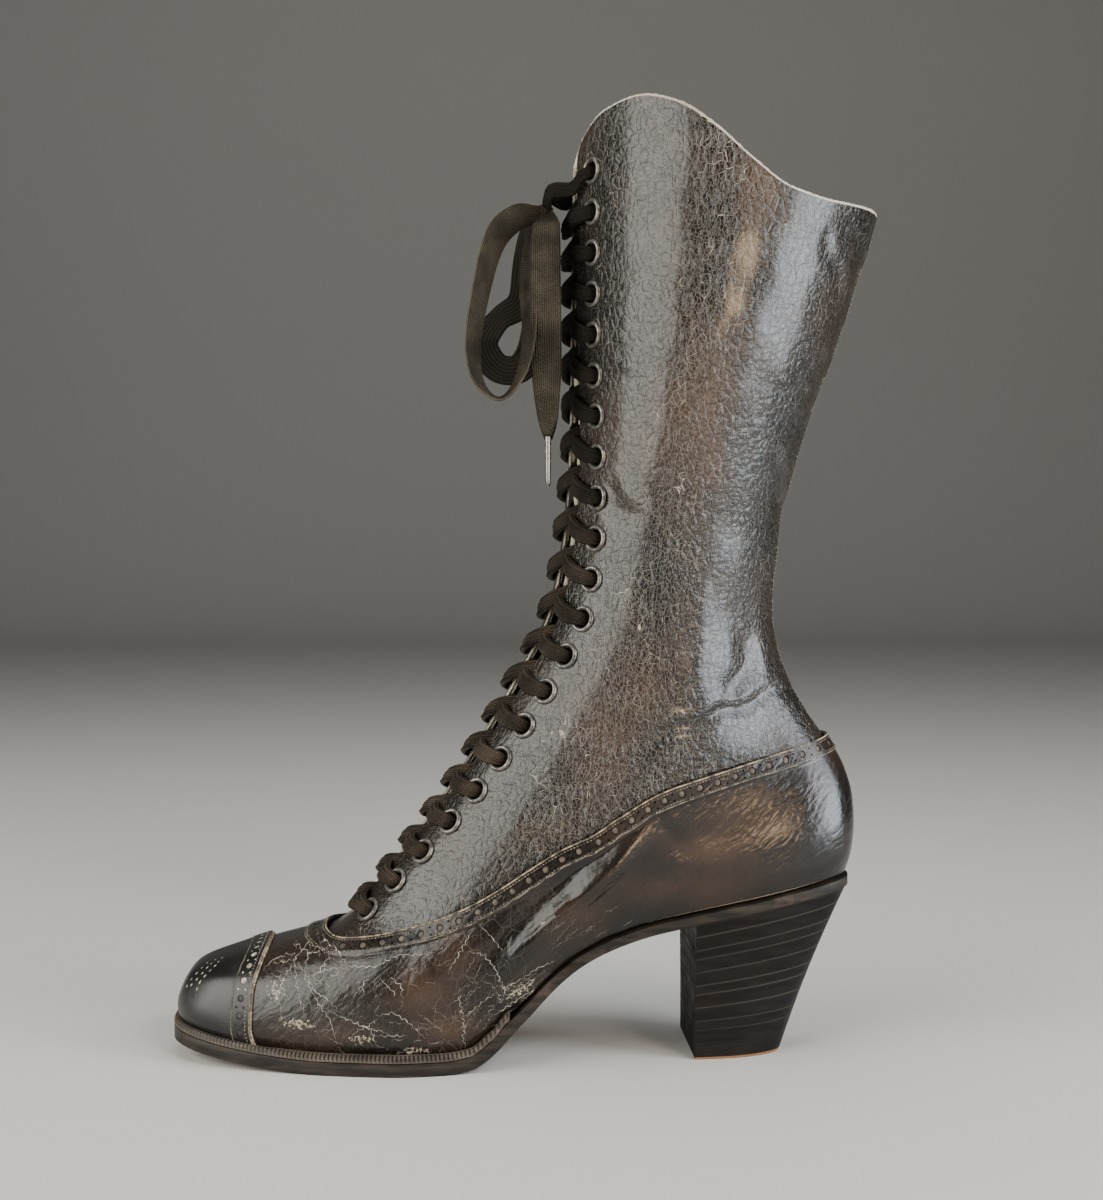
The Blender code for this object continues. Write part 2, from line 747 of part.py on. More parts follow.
def lace_point(t, offset, height):
    return lifted(t, throat_angle(t, offset), height)


def lace_route(first_side, rise):
    """A lace from the lowest eyelet that crosses at each row and ends above the knot."""
    levels = eyelet_levels()
    points = []
    side = first_side
    for t, above in zip(levels, levels[1:]):
        ridge_level = mix(t, above, 0.5 + LACE_SLANT * side)
        ridge = lace_point(ridge_level, -LACE_RIDGE, LACE_OVER_THROAT + rise)
        middle = lace_point((t + above) / 2, 0.0, LACE_OVER_THROAT + rise)
        points.append(lace_point(t, side * EYELET_HALF_SPAN, LACE_OVER_EYELET))
        points += (middle, ridge) if side > 0 else (ridge, middle)
        side = -side
    points.append(lace_point(levels[-1], side * EYELET_HALF_SPAN, LACE_OVER_EYELET))
    points.append(KNOT_CENTRE + Vector((LACE_TAIL.x, -LACE_TAIL.y * side, LACE_TAIL.z)))
    return points


def add_lace_crossings(material, collection):
    """One lace: down one way, across the lowest eyelets and up the other way over itself."""
    low = eyelet_levels()[0]
    bar = [lace_point(low, 0.0, LACE_OVER_THROAT), lace_point(low, -LACE_RIDGE, LACE_OVER_THROAT)]
    route = lace_route(1, LACE_OVER_LACE)[::-1] + bar + lace_route(-1, 0.0)
    add_cord("lace_crossings", route, LACE_RADIUS, LACE_SIDES, material, collection)


def add_bow(cotton, metal, collection):
    """The knot in front of the throat, with a loop and a tagged end on each side."""
    bm = bmesh.new()
    bmesh.ops.create_uvsphere(bm, u_segments=KNOT_SEGMENTS, v_segments=KNOT_RINGS, radius=1.0)
    for vertex in bm.verts:
        vertex.co = (KNOT_CENTRE + Vector([c * r for c, r in zip(vertex.co, KNOT_RADII)])) * MM
    add_object("lace_knot", mesh_from("lace_knot", bm), cotton, collection)
    for side, facing in ((-1, "outer"), (1, "inner")):

        def hung(route):
            return [KNOT_CENTRE + Vector((x, side * y, z)) for x, y, z in route]

        loop = flowing(hung(LOOP_ROUTE), LOOP_PIECES)
        add_cord(f"lace_loop_{facing}", loop, BOW_LACE_RADIUS, BOW_SIDES, cotton, collection)
        end = flowing(hung(END_ROUTE), END_PIECES)
        add_cord(f"lace_end_{facing}", end, BOW_LACE_RADIUS, BOW_SIDES, cotton, collection)
        top = end[-1] - Vector((0, 0, CLEARANCE))
        tag = [top, top - Vector((0, 0, TAG_LENGTH))]
        add_cord(f"lace_tag_{facing}", tag, TAG_RADIUS, BOW_SIDES, metal, collection)


def main():
    clear_scene()
    boot = new_collection("victorian_boot")
    tools = new_collection("cutters")
    leather = new_material("black_kid_leather", LEATHER_BLACK, 0.32)
    cap_leather = new_material("polished_cap_leather", LEATHER_BLACK, 0.22)
    sole_leather = new_material("sole_leather", LEATHER_SOLE, 0.55)
    heel_leather = new_material("stacked_heel_leather", LEATHER_HEEL, 0.38)
    lining = new_material("cream_lining", LINING_CREAM, 0.8)
    cotton = new_material("black_cotton", COTTON_BLACK, 0.85)
    enamel = new_material("worn_enamel", ENAMEL_GREY, 0.4, 0.6)
    tag_metal = new_material("tag_metal", TAG_METAL, 0.35, 1.0)

    upper = add_upper(leather, boot)
    add_vamp_foxing(leather, boot)
    add_toe_cap(cap_leather, boot)
    add_tongue(leather, boot)
    add_outsole(sole_leather, boot)
    add_insole(lining, boot)
    add_welt(sole_leather, boot)
    add_heel(heel_leather, sole_leather, boot)
    add_eyelets(upper, enamel, boot, tools)
    add_lace_crossings(cotton, boot)
    add_bow(cotton, tag_metal, boot)


main()
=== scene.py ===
"""The look of the left boot: crazed black kid, brogued vamp and cap, stacked heel and flat cotton lace.

The toe points to -X, the outer side of the foot to -Y and the shaft to +Z. Tables are in millimetres.
"""

import math
import random
from functools import lru_cache

import bpy
import numpy as np
from mathutils import Matrix, Vector
from mathutils.bvhtree import BVHTree


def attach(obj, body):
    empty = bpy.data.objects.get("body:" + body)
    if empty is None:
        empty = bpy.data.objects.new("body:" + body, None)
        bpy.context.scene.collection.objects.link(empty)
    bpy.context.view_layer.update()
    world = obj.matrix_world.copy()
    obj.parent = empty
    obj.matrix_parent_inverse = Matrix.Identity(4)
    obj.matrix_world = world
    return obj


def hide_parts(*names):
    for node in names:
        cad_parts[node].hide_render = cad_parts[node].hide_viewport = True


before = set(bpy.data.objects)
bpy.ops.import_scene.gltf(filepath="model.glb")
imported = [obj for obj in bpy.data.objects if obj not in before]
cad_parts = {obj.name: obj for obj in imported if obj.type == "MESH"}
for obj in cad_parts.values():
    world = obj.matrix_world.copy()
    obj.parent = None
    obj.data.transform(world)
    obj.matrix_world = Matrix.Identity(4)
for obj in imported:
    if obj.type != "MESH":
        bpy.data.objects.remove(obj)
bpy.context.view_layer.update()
MM = 0.001


# The studio. A pale floor sweeps up behind the boot, and tall soft lamps to the left and right lay long
# upright lights along the glazed leather, with the darker room between them.
FLOOR_SIZE = 7.0
FLOOR_COLOUR = (0.62, 0.60, 0.57, 1.0)
FLOOR_ROUGHNESS = 0.85
SWEEP_HEIGHT = 3.0
SWEEP_WIDTH = 1.2
SWEEP_SEGMENTS = 16
ROOM_COLOUR = (0.46, 0.47, 0.48, 1.0)
ROOM_LIGHT = 0.14

bpy.ops.object.select_all(action="DESELECT")
bpy.ops.mesh.primitive_plane_add(size=FLOOR_SIZE)
floor = bpy.context.object
floor.name = "studio_floor"
bpy.ops.object.mode_set(mode="EDIT")
bpy.ops.mesh.select_all(action="DESELECT")
bpy.ops.object.mode_set(mode="OBJECT")
for edge in floor.data.edges:
    edge.select = all(floor.data.vertices[v].co.y > 0 for v in edge.vertices)
bpy.ops.object.mode_set(mode="EDIT")
bpy.ops.mesh.extrude_region_move(TRANSFORM_OT_translate={"value": (0.0, 0.0, SWEEP_HEIGHT)})
bpy.ops.mesh.select_all(action="SELECT")
bpy.ops.object.mode_set(mode="OBJECT")
sweep = floor.modifiers.new("sweep", "BEVEL")
sweep.width = SWEEP_WIDTH
sweep.segments = SWEEP_SEGMENTS
bpy.ops.object.modifier_apply(modifier="sweep")
bpy.ops.object.shade_smooth()
floor_paint = bpy.data.materials.new("studio_floor_paint")
floor_paint.use_nodes = True
floor_shader = floor_paint.node_tree.nodes["Principled BSDF"]
floor_shader.inputs["Base Color"].default_value = FLOOR_COLOUR
floor_shader.inputs["Roughness"].default_value = FLOOR_ROUGHNESS
floor.data.materials.append(floor_paint)

world = bpy.data.worlds.new("studio_room")
world.use_nodes = True
world.node_tree.nodes["Background"].inputs["Color"].default_value = ROOM_COLOUR
world.node_tree.nodes["Background"].inputs["Strength"].default_value = ROOM_LIGHT
bpy.context.scene.world = world


def hang_lamp(name, place, target, width, height, power, colour):
    """A soft lamp of that size at place, turned to the target."""
    bpy.ops.object.light_add(type="AREA", location=place)
    lamp = bpy.context.object
    lamp.name = name
    lamp.data.shape = "RECTANGLE"
    lamp.data.size = width
    lamp.data.size_y = height
    lamp.data.energy = power
    lamp.data.color = colour
    lamp.visible_camera = False
    lamp.rotation_euler = (Vector(target) - Vector(place)).to_track_quat("-Z", "Y").to_euler()


LAMPS = (  # name, place, target, width, height, power, colour
    ("window_left", (-0.94, -0.56, 0.40), (0.02, 0.0, 0.20), 1.15, 1.20, 27.0, (1.0, 0.99, 0.92)),
    ("window_right", (0.98, -0.46, 0.40), (0.06, 0.0, 0.18), 0.52, 1.10, 15.0, (0.84, 0.92, 1.0)),
    ("window_right_low", (0.78, -0.36, 0.15), (0.10, 0.0, 0.08), 0.40, 0.26, 2.3, (0.90, 0.95, 1.0)),
    ("lamp_top", (-0.1, 0.25, 1.25), (0.0, 0.0, 0.1), 1.0, 0.8, 5.0, (1.0, 1.0, 1.0)),
    ("lamp_high_right", (0.52, -0.78, 0.85), (0.08, 0.0, 0.10), 0.36, 0.30, 5.0, (1.0, 0.97, 0.92)),
    ("lamp_low", (0.50, -0.95, 0.20), (0.07, 0.0, 0.08), 0.30, 0.12, 3.0, (1.0, 0.70, 0.44)),
)
for lamp in LAMPS:
    hang_lamp(*lamp)

CAMERA_TURN = math.radians(-3.0)
CAMERA_TILT = math.radians(2.4)
CAMERA_TARGET = Vector((0.00985, 0.0, 0.193))
CAMERA_DISTANCE = 0.70
FOCAL_SHARE = 1925.0 / 1200.0  # focal length for each unit of the picture's height
bpy.ops.object.camera_add()
camera = bpy.context.object
camera.name = "photo_camera"
camera.data.sensor_fit = "VERTICAL"
camera.data.angle = 2 * math.atan(0.5 / FOCAL_SHARE)
camera.location = CAMERA_TARGET + Vector((math.sin(CAMERA_TURN), -math.cos(CAMERA_TURN), 0)) * CAMERA_DISTANCE
camera.rotation_euler = (math.pi / 2 - CAMERA_TILT, 0, CAMERA_TURN)
bpy.context.scene.camera = camera


# The upper. Quarters of thin glazed kid over a cream cotton lining, closed at the back, lasted to the
# foot and left open along the lacing. The same tables as the solid give its shape.
WALL = 2.0
CLEARANCE = 0.35
SEAT_CLEARANCE = 0.55
FACING_HALF_GAP = 4.0
THROAT_OPENING = 0.5
TREAD_LINE = (
    (-130.0, 6.5),
    (-112.0, 3.6),
    (-92.0, 1.2),
    (-72.0, 0.0),
    (-30.0, 0.0),
    (-20.0, 1.3),
    (-12.0, 6.2),
    (-6.0, 12.4),
    (1.0, 19.2),
    (11.0, 29.2),
    (20.0, 36.0),
    (30.0, 41.0),
    (44.0, 45.6),
    (60.0, 49.0),
    (90.0, 54.8),
    (122.0, 61.2),
)
OUTSOLE_LINE = ((-130.0, 4.6), (-24.0, 4.6), (10.0, 3.4), (122.0, 3.4))
SWING_LINE = ((-128.0, 7.0), (-95.0, 3.5), (-55.0, 0.0), (10.0, -3.0), (60.0, -0.5), (122.0, 0.0))
COLLAR_LINE = (
    (17.0, 317.0),
    (20.6, 328.5),
    (27.0, 335.8),
    (38.0, 338.5),
    (50.0, 335.0),
    (62.0, 327.0),
    (76.0, 315.0),
    (90.0, 306.0),
    (108.0, 302.5),
    (128.0, 302.0),
)
LEVEL_COLUMNS = (
    "front_x", "front_z", "back_x", "back_z", "fore", "mid", "rear",
    "nose", "tail", "sole", "swing", "wave", "turn",
)
LEVELS = {
    "feather": (-121.6, 11.0, 115.4, 64.0, 34.0, 23.0, 27.0, 0.60, 0.55, 1.00, 1.0, 0.0, 0.0),
    "toe_bulge": (-123.8, 18.0, 118.2, 73.0, 36.4, 26.5, 29.5, 0.60, 0.55, 0.93, 1.0, 0.0, 0.0),
    "toe_crown": (-119.6, 28.2, 119.2, 83.0, 36.0, 29.0, 29.8, 0.61, 0.58, 0.84, 1.0, 0.0, 0.0),
    "cap_top": (-101.5, 36.0, 118.6, 92.5, 34.4, 30.2, 28.6, 0.64, 0.62, 0.66, 0.9, 0.0, 0.0),
    "throat": (-68.5, 46.4, 115.8, 102.5, 32.6, 30.6, 27.0, 0.66, 0.68, 0.42, 0.7, 0.0, 0.0),
    "low_instep": (-47.0, 70.0, 110.6, 112.0, 31.2, 30.6, 25.2, 0.80, 0.74, 0.26, 0.4, 0.0, 1.5),
    "instep": (-26.0, 98.5, 103.4, 122.0, 30.6, 30.4, 23.6, 1.00, 0.84, 0.13, 0.2, 0.0, 3.5),
    "ankle_bend": (-5.0, 133.0, 95.0, 138.0, 30.6, 30.4, 23.4, 1.20, 0.92, 0.05, 0.1, 0.0, 5.5),
    "ankle": (8.6, 161.0, 90.0, 159.0, 31.0, 30.4, 26.0, 1.40, 1.00, 0.0, 0.0, 0.0, 6.5),
    "above_ankle": (14.4, 193.0, 92.2, 188.0, 33.6, 32.4, 30.4, 1.60, 1.00, 0.0, 0.0, 0.0, 5.5),
    "low_calf": (16.4, 228.0, 101.0, 223.0, 39.0, 37.4, 35.6, 1.75, 1.00, 0.0, 0.0, 0.0, 3.5),
    "calf": (16.2, 266.0, 113.6, 258.0, 44.4, 42.4, 40.4, 1.75, 1.00, 0.0, 0.0, 0.15, 2.0),
    "collar": (17.0, 317.0, 127.6, 302.0, 47.0, 45.4, 43.4, 1.60, 1.00, 0.0, 0.0, 1.0, 1.0),
}
THROAT_LEVEL = list(LEVELS).index("throat")
TOP_LEVEL = len(LEVELS) - 1
WIDTH_STATIONS = (0.30, 0.58, 0.86)
BALL_SKEW = 0.02
FOXING_SEAM = (
    (0.0, 3.90),
    (0.06, 3.76),
    (0.20, 4.18),
    (0.36, 5.0),
    (0.58, 5.22),
    (0.80, 5.22),
    (1.0, 5.22),
)


def mix(a, b, share):
    return a + (b - a) * share


def smooth(points, x):
    """The height at x of a curve through the points that never overshoots them."""
    if x <= points[0][0]:
        return points[0][1]
    if x >= points[-1][0]:
        return points[-1][1]
    slopes = [(b[1] - a[1]) / (b[0] - a[0]) for a, b in zip(points, points[1:])]

    def tangent(i):
        if i == 0:
            return slopes[0]
        if i == len(points) - 1:
            return slopes[-1]
        before, after = slopes[i - 1], slopes[i]
        return 0.0 if before * after <= 0 else 2 * before * after / (before + after)

    i = next(k for k in range(len(slopes)) if x <= points[k + 1][0])
    width = points[i + 1][0] - points[i][0]
    s = (x - points[i][0]) / width
    start = points[i][1] * (1 + 2 * s) * (1 - s) ** 2 + tangent(i) * width * s * (1 - s) ** 2
    end = points[i + 1][1] * s * s * (3 - 2 * s) - tangent(i + 1) * width * s * s * (1 - s)
    return start + end


def tread(x):
    return smooth(TREAD_LINE, x)


def steepness(x):
    rise = tread(x + 0.5) - tread(x - 0.5)
    return math.sqrt(1 + rise * rise)


def outsole_top(x):
    return tread(x) + smooth(OUTSOLE_LINE, x) * steepness(x)


def feather_height(x):
    return outsole_top(x) + SEAT_CLEARANCE * steepness(x)


@lru_cache(maxsize=None)
def level(t):
    """The sizes of the level at t, where whole numbers are the table's rows."""
    rows = list(LEVELS.values())
    return {
        name: smooth([(k, row[c]) for k, row in enumerate(rows)], t)
        for c, name in enumerate(LEVEL_COLUMNS)
    }


def half_width(row, share, side):
    skew = BALL_SKEW * side
    stations = [(at - skew, row[name]) for at, name in zip(WIDTH_STATIONS, ("fore", "mid", "rear"))]
    roundness = mix(row["nose"], row["tail"], share)
    return smooth(stations, share) * max(0.0, 4 * share * (1 - share)) ** (roundness / 2)


def upper_point(t, angle):
    """The outer surface of the upper: angle 0 is the front, pi / 2 the outer side and pi the back."""
    row = level(t)
    share = (1 - math.cos(angle)) / 2
    side = 1 if math.sin(angle) < 0 else -1
    x = mix(row["front_x"], row["back_x"], share)
    first = level(0)
    sole_x = mix(first["front_x"], first["back_x"], share)
    sole_curve = feather_height(sole_x) - mix(first["front_z"], first["back_z"], share)
    last = level(TOP_LEVEL)
    wave = smooth(COLLAR_LINE, mix(last["front_x"], last["back_x"], share))
    wave -= mix(last["front_z"], last["back_z"], share)
    z = mix(row["front_z"], row["back_z"], share) + row["sole"] * sole_curve + row["wave"] * wave
    y = row["swing"] * smooth(SWING_LINE, x) + side * half_width(row, share, side)
    return Vector((x, y, z))


def upper_normal(t, angle):
    step_t, step_angle = 0.02, 0.01
    low, high = max(0.0, t - step_t), min(float(TOP_LEVEL), t + step_t)
    around = upper_point(t, angle + step_angle) - upper_point(t, angle - step_angle)
    up = upper_point(high, angle) - upper_point(low, angle)
    return around.cross(up).normalized()


@lru_cache(maxsize=None)
def angle_at_span(t, span):
    """The angle at which level t is span millimetres from its own middle, in front."""
    row = level(t)
    low, high = 0.0, math.pi / 2
    for _ in range(40):
        middle = (low + high) / 2
        if half_width(row, (1 - math.cos(middle)) / 2, -1) < span:
            low = middle
        else:
            high = middle
    return high


def throat_angle(t, offset):
    """The angle at offset millimetres from the throat's middle, positive to the outer side."""
    span = level(t)["turn"] + offset
    return math.copysign(angle_at_span(t, abs(span)), span)


@lru_cache(maxsize=None)
def facing_angles(t):
    """Where the wall starts and ends round level t: at its facings, or at the closed front below."""
    if t <= THROAT_LEVEL:
        return 0.0, 2 * math.pi
    half_gap = FACING_HALF_GAP * math.sqrt(min(1.0, (t - THROAT_LEVEL) / THROAT_OPENING))
    return throat_angle(t, half_gap), 2 * math.pi + throat_angle(t, -half_gap)


def foxing_level(angle):
    return smooth(FOXING_SEAM, (1 - math.cos(angle)) / 2)


def fade(low, high, value):
    """0 below low and 1 above high, with a soft start and end."""
    share = np.clip((np.asarray(value) - low) / (high - low), 0.0, 1.0)
    return share * share * (3 - 2 * share)


def mark(piece, name, values):
    """Writes a value on each point of the piece, for its material to read."""
    attribute = piece.data.attributes.new(name, "FLOAT", "POINT")
    attribute.data.foreach_set("value", np.asarray(values, dtype=np.float32))


MERGE_WITHIN = 0.00002  # metres between points that a grid joins into one
NO_LENGTH = 0.00001  # metres of an edge that is dissolved


def leather_grid(name, columns, rows, place, marks=None):
    """A grid with its points moved to place(across, up), both from 0 to 1, and merged where they meet.

    marks names values of across and up to keep on each point.
    """
    bpy.ops.object.select_all(action="DESELECT")
    bpy.ops.mesh.primitive_grid_add(x_subdivisions=columns, y_subdivisions=rows, size=2.0)
    piece = bpy.context.object
    piece.name = name
    piece.data.name = name
    shares = []
    for vertex in piece.data.vertices:
        across = round((vertex.co.x + 1) / 2 * columns) / columns
        up = round((vertex.co.y + 1) / 2 * rows) / rows
        shares.append((across, up))
        vertex.co = place(across, up) * MM
    for label, value in (marks or {}).items():
        mark(piece, label, [value(*share) for share in shares])
    bpy.ops.object.mode_set(mode="EDIT")
    bpy.ops.mesh.select_all(action="SELECT")
    bpy.ops.mesh.remove_doubles(threshold=MERGE_WITHIN)
    bpy.ops.mesh.dissolve_degenerate(threshold=NO_LENGTH)
    bpy.ops.object.mode_set(mode="OBJECT")
    bpy.ops.object.shade_smooth()
    return piece


def select_only(piece):
    """Makes the piece the one that the next operator works on."""
    bpy.ops.object.select_all(action="DESELECT")
    piece.select_set(True)
    bpy.context.view_layer.objects.active = piece


def work(piece, kind, **settings):
    """Gives the piece a modifier with those settings and applies it."""
    modifier = piece.modifiers.new(kind.lower(), kind)
    for name, value in settings.items():
        setattr(modifier, name, value)
    select_only(piece)
    bpy.ops.object.modifier_apply(modifier=modifier.name)


def points_of(piece, kind="co"):
    values = np.empty(len(piece.data.vertices) * 3)
    piece.data.vertices.foreach_get(kind, values)
    return values.reshape(-1, 3)


def marked(piece, name):
    """The values that mark wrote on the piece's points."""
    values = np.empty(len(piece.data.vertices), dtype=np.float32)
    piece.data.attributes[name].data.foreach_get("value", values)
    return values


def move_points(piece, points):
    piece.data.vertices.foreach_set("co", points.ravel())
    piece.data.update()


# Creases of the outer quarter, as they fall in the side view: soft troughs with a ridge beside them.
# Each row is x, z, x and z of its other end, depth and width.
CREASES = (
    (28.0, 199.0, 40.0, 192.0, 1.1, 3.2),
    (30.0, 206.0, 33.0, 194.0, 0.7, 2.4),
    (36.0, 193.0, 49.0, 196.0, -0.6, 3.0),
    (80.0, 150.0, 72.0, 128.0, 0.8, 3.8),
    (42.0, 116.0, 84.0, 129.0, 0.75, 2.2),
    (80.0, 128.5, 103.0, 133.5, 0.3, 1.8),
    (29.0, 320.5, 57.0, 323.0, 0.3, 0.9),
    (26.0, 244.0, 44.0, 243.0, 0.35, 1.2),
    (104.0, 290.0, 112.0, 270.0, 0.8, 2.6),
    (112.0, 296.0, 121.0, 284.0, 0.6, 2.2),
    (84.0, 240.0, 100.0, 236.0, 0.3, 1.8),
    (88.0, 215.0, 95.0, 190.0, 0.5, 3.0),
)
QUARTER_WAVE = 1.2  # how far a crease winds to each side
QUARTER_INNER_SHIFT = (3.0, 0.0, 6.0)  # the inner side's creases don't lie quite opposite the outer ones
RUMPLE = 0.16
STAY_HALF_WIDTH = 5.2
STAY_EDGE = 0.6
STAY_RAISE = 0.5


def crease_depth(points, x, z, to_x, to_z, depth, width, wave):
    """How far each point, in millimetres, sinks for one crease, which fades out at its two ends."""
    run = np.array((to_x - x, to_z - z))
    length = np.hypot(*run)
    run /= length
    offset = points[:, (0, 2)] - np.array((x, z))
    along = offset @ run
    aside = offset @ np.array((-run[1], run[0]))
    bend = wave * np.sin(along * 0.35 + x)
    trough = np.exp(-(((aside - bend) / width) ** 2))
    ridge = 0.4 * np.exp(-(((aside - bend - 1.9 * width) / width) ** 2))
    ends = fade(-0.25 * length, 0.25 * length, along) * (1 - fade(0.75 * length, 1.25 * length, along))
    return depth * (trough - ridge) * ends


def sink_creases(points, normals, creases, inner_shift, wave):
    """How far the creases sink each point, on the outer side and, moved by that shift, on the inner one."""
    outer_side = fade(0.1, -0.3, normals[:, 1])
    inner_side = fade(-0.1, 0.3, normals[:, 1])
    depth = np.zeros(len(points))
    for crease in creases:
        depth += crease_depth(points, *crease, wave) * outer_side
        depth += crease_depth(points + np.array(inner_shift), *crease, wave) * inner_side
    return depth


UPPER_COLUMNS = 96
UPPER_ROWS = 92
ROW_LINE = ((0.0, 0.0), (0.13, 3.3), (0.26, 4.9), (1.0, 12.0))  # share of the rows, level
UNDER_VAMP = 0.9  # how far the quarter's leather is skived where the vamp covers it
DEEP_UNDER_VAMP = 1.3  # and how much further it lies in below that


def upper_spot(across, up):
    t = smooth(ROW_LINE, up)
    return t, mix(*facing_angles(t), across)


def covered(across, up):
    t, angle = upper_spot(across, up)
    return float(fade(0.06, 0.22, foxing_level(angle) - t))


def place_upper(across, up):
    t, angle = upper_spot(across, up)
    below_seam = foxing_level(angle) - t
    sink = UNDER_VAMP * covered(across, up) + DEEP_UNDER_VAMP * float(fade(0.12, 0.4, below_seam))
    point = upper_point(t, angle)
    return point - upper_normal(t, angle) * sink if sink else point


upper = leather_grid("upper_quarters", UPPER_COLUMNS, UPPER_ROWS, place_upper, {"covered": covered})
work(upper, "SUBSURF", levels=1, render_levels=1)
upper_points = points_of(upper) / MM
upper_normals = points_of(upper, "normal")
upper_x, upper_y, upper_z = upper_points.T
sunk = sink_creases(upper_points, upper_normals, CREASES, QUARTER_INNER_SHIFT, QUARTER_WAVE)
rumple = RUMPLE * np.sin(upper_z * 0.21 + 0.08 * upper_x) * np.sin(upper_x * 0.19)
free_wall = fade(112.0, 140.0, upper_z) * fade(30.0, 40.0, upper_x)
at_back = fade(70.0, 84.0, upper_x) * fade(112.0, 118.0, upper_z)
beside_stay = fade(STAY_HALF_WIDTH - STAY_EDGE, STAY_HALF_WIDTH + STAY_EDGE, np.abs(upper_y))
stay = STAY_RAISE * at_back * (1 - beside_stay)
move_points(upper, (upper_points - upper_normals * (sunk + rumple * free_wall - stay)[:, None]) * MM)
CRAZE_LINE = ((100.0, 12.0), (130.0, 28.0), (179.0, 47.0), (243.0, 59.0), (310.0, 66.0))  # z, x
CRAZE_REACH = 14.0
CRAZE_LEAST = 0.36
CRAZE_ON_LINE = 0.6
CRAZE_ABOVE_FOXING = 0.5
craze_middle = np.interp(upper_z, *zip(*CRAZE_LINE))
above_foxing = 1 - fade(0.0, 22.0, upper_z - (96.0 + 0.36 * upper_x))
above_foxing *= fade(-12.0, 22.0, upper_x) * (1 - fade(44.0, 66.0, upper_x))
craze = CRAZE_LEAST + CRAZE_ON_LINE * np.exp(-(((upper_x - craze_middle) / CRAZE_REACH) ** 2))
mark(upper, "craze", np.clip(craze + CRAZE_ABOVE_FOXING * above_foxing, 0.0, 1.0))


def patches(points, table):
    """How strongly each point lies in the soft patches of the table: x, z, reach along and reach up."""
    strength = np.zeros(len(points))
    for x, z, reach, rise in table:
        near = ((points[:, 0] - x) / reach) ** 2 + ((points[:, 2] - z) / rise) ** 2
        strength = np.maximum(strength, np.exp(-near))
    return strength


BROWN_QUARTER = (
    (75.0, 301.0, 6.0, 16.0),
    (58.0, 231.0, 13.0, 24.0),
    (64.0, 214.0, 6.0, 12.0),
    (40.0, 140.0, 9.0, 16.0),
    (26.0, 113.0, 9.0, 14.0),
    (8.0, 84.0, 10.0, 5.0),
)
mark(upper, "brown", patches(upper_points, BROWN_QUARTER))
OUTSIDE, LINING, FACING_RIM, COLLAR_RIM, UNDERLAY = range(5)
for _ in range(UNDERLAY + 1):
    upper.data.materials.append(None)
work(upper, "SOLIDIFY", thickness=WALL * MM, offset=-1.0, material_offset=LINING,
     material_offset_rim=FACING_RIM)
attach(upper, "root")
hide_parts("upper")


def new_group(name, inputs, outputs):
    """A node group with those inputs, each a number with its default, and those outputs."""
    group = bpy.data.node_groups.new(name, "ShaderNodeTree")
    for label, value in inputs.items():
        socket = group.interface.new_socket(label, in_out="INPUT", socket_type="NodeSocketFloat")
        socket.default_value = value
    for label in outputs:
        group.interface.new_socket(label, in_out="OUTPUT", socket_type="NodeSocketFloat")
    return group


def feed(tree, made, **inputs):
    """Sets or links the node's inputs by name, or by number as in_0."""
    for name, value in inputs.items():
        socket = made.inputs[int(name[3:])] if name.startswith("in_") else made.inputs[name.replace("_", " ")]
        if isinstance(value, bpy.types.NodeSocket):
            tree.links.new(value, socket)
        else:
            socket.default_value = value


def node(tree, kind, settings=None, **inputs):
    """Adds a node with its settings, and feeds its inputs."""
    made = tree.nodes.new(kind)
    for name, value in (settings or {}).items():
        setattr(made, name, value)
    feed(tree, made, **inputs)
    return made


def maths(tree, operation, first, second=0.0, third=0.0):
    made = node(tree, "ShaderNodeMath", {"operation": operation}, in_0=first, in_1=second, in_2=third)
    return made.outputs[0]


def times(tree, first, second):
    return maths(tree, "MULTIPLY", first, second)


def plus(tree, first, second):
    return maths(tree, "ADD", first, second)


def spread(tree, value, low, high, to_low, to_high):
    """The value's range from low to high made to run from to_low to to_high, and held at its ends."""
    made = node(tree, "ShaderNodeMapRange", {"interpolation_type": "SMOOTHSTEP"}, in_0=value, in_1=low,
                in_2=high, in_3=to_low, in_4=to_high)
    return made.outputs[0]


def blend_colours(tree, share, first, second):
    made = node(tree, "ShaderNodeMix", {"data_type": "RGBA"}, in_0=share, in_6=first, in_7=second)
    return made.outputs[2]


def noise(tree, place, scale, detail, **inputs):
    made = node(tree, "ShaderNodeTexNoise", Vector=place, Scale=scale, Detail=detail, **inputs)
    return made.outputs["Fac"]


def point_value(tree, name):
    """The value that mark wrote on the points of the piece."""
    return node(tree, "ShaderNodeAttribute", {"attribute_name": name}).outputs["Fac"]


def relief_of(tree, height, strength, distance):
    """The normal of a face that rises with height, by that distance in metres."""
    made = node(tree, "ShaderNodeBump", Height=height, Strength=strength, Distance=distance)
    return made.outputs["Normal"]


def new_material(name):
    """A material, its node tree, its shader and the place of each point in the piece's own frame."""
    material = bpy.data.materials.new(name)
    material.use_nodes = True
    tree = material.node_tree
    place = node(tree, "ShaderNodeTexCoord").outputs["Object"]
    return material, tree, tree.nodes["Principled BSDF"], place


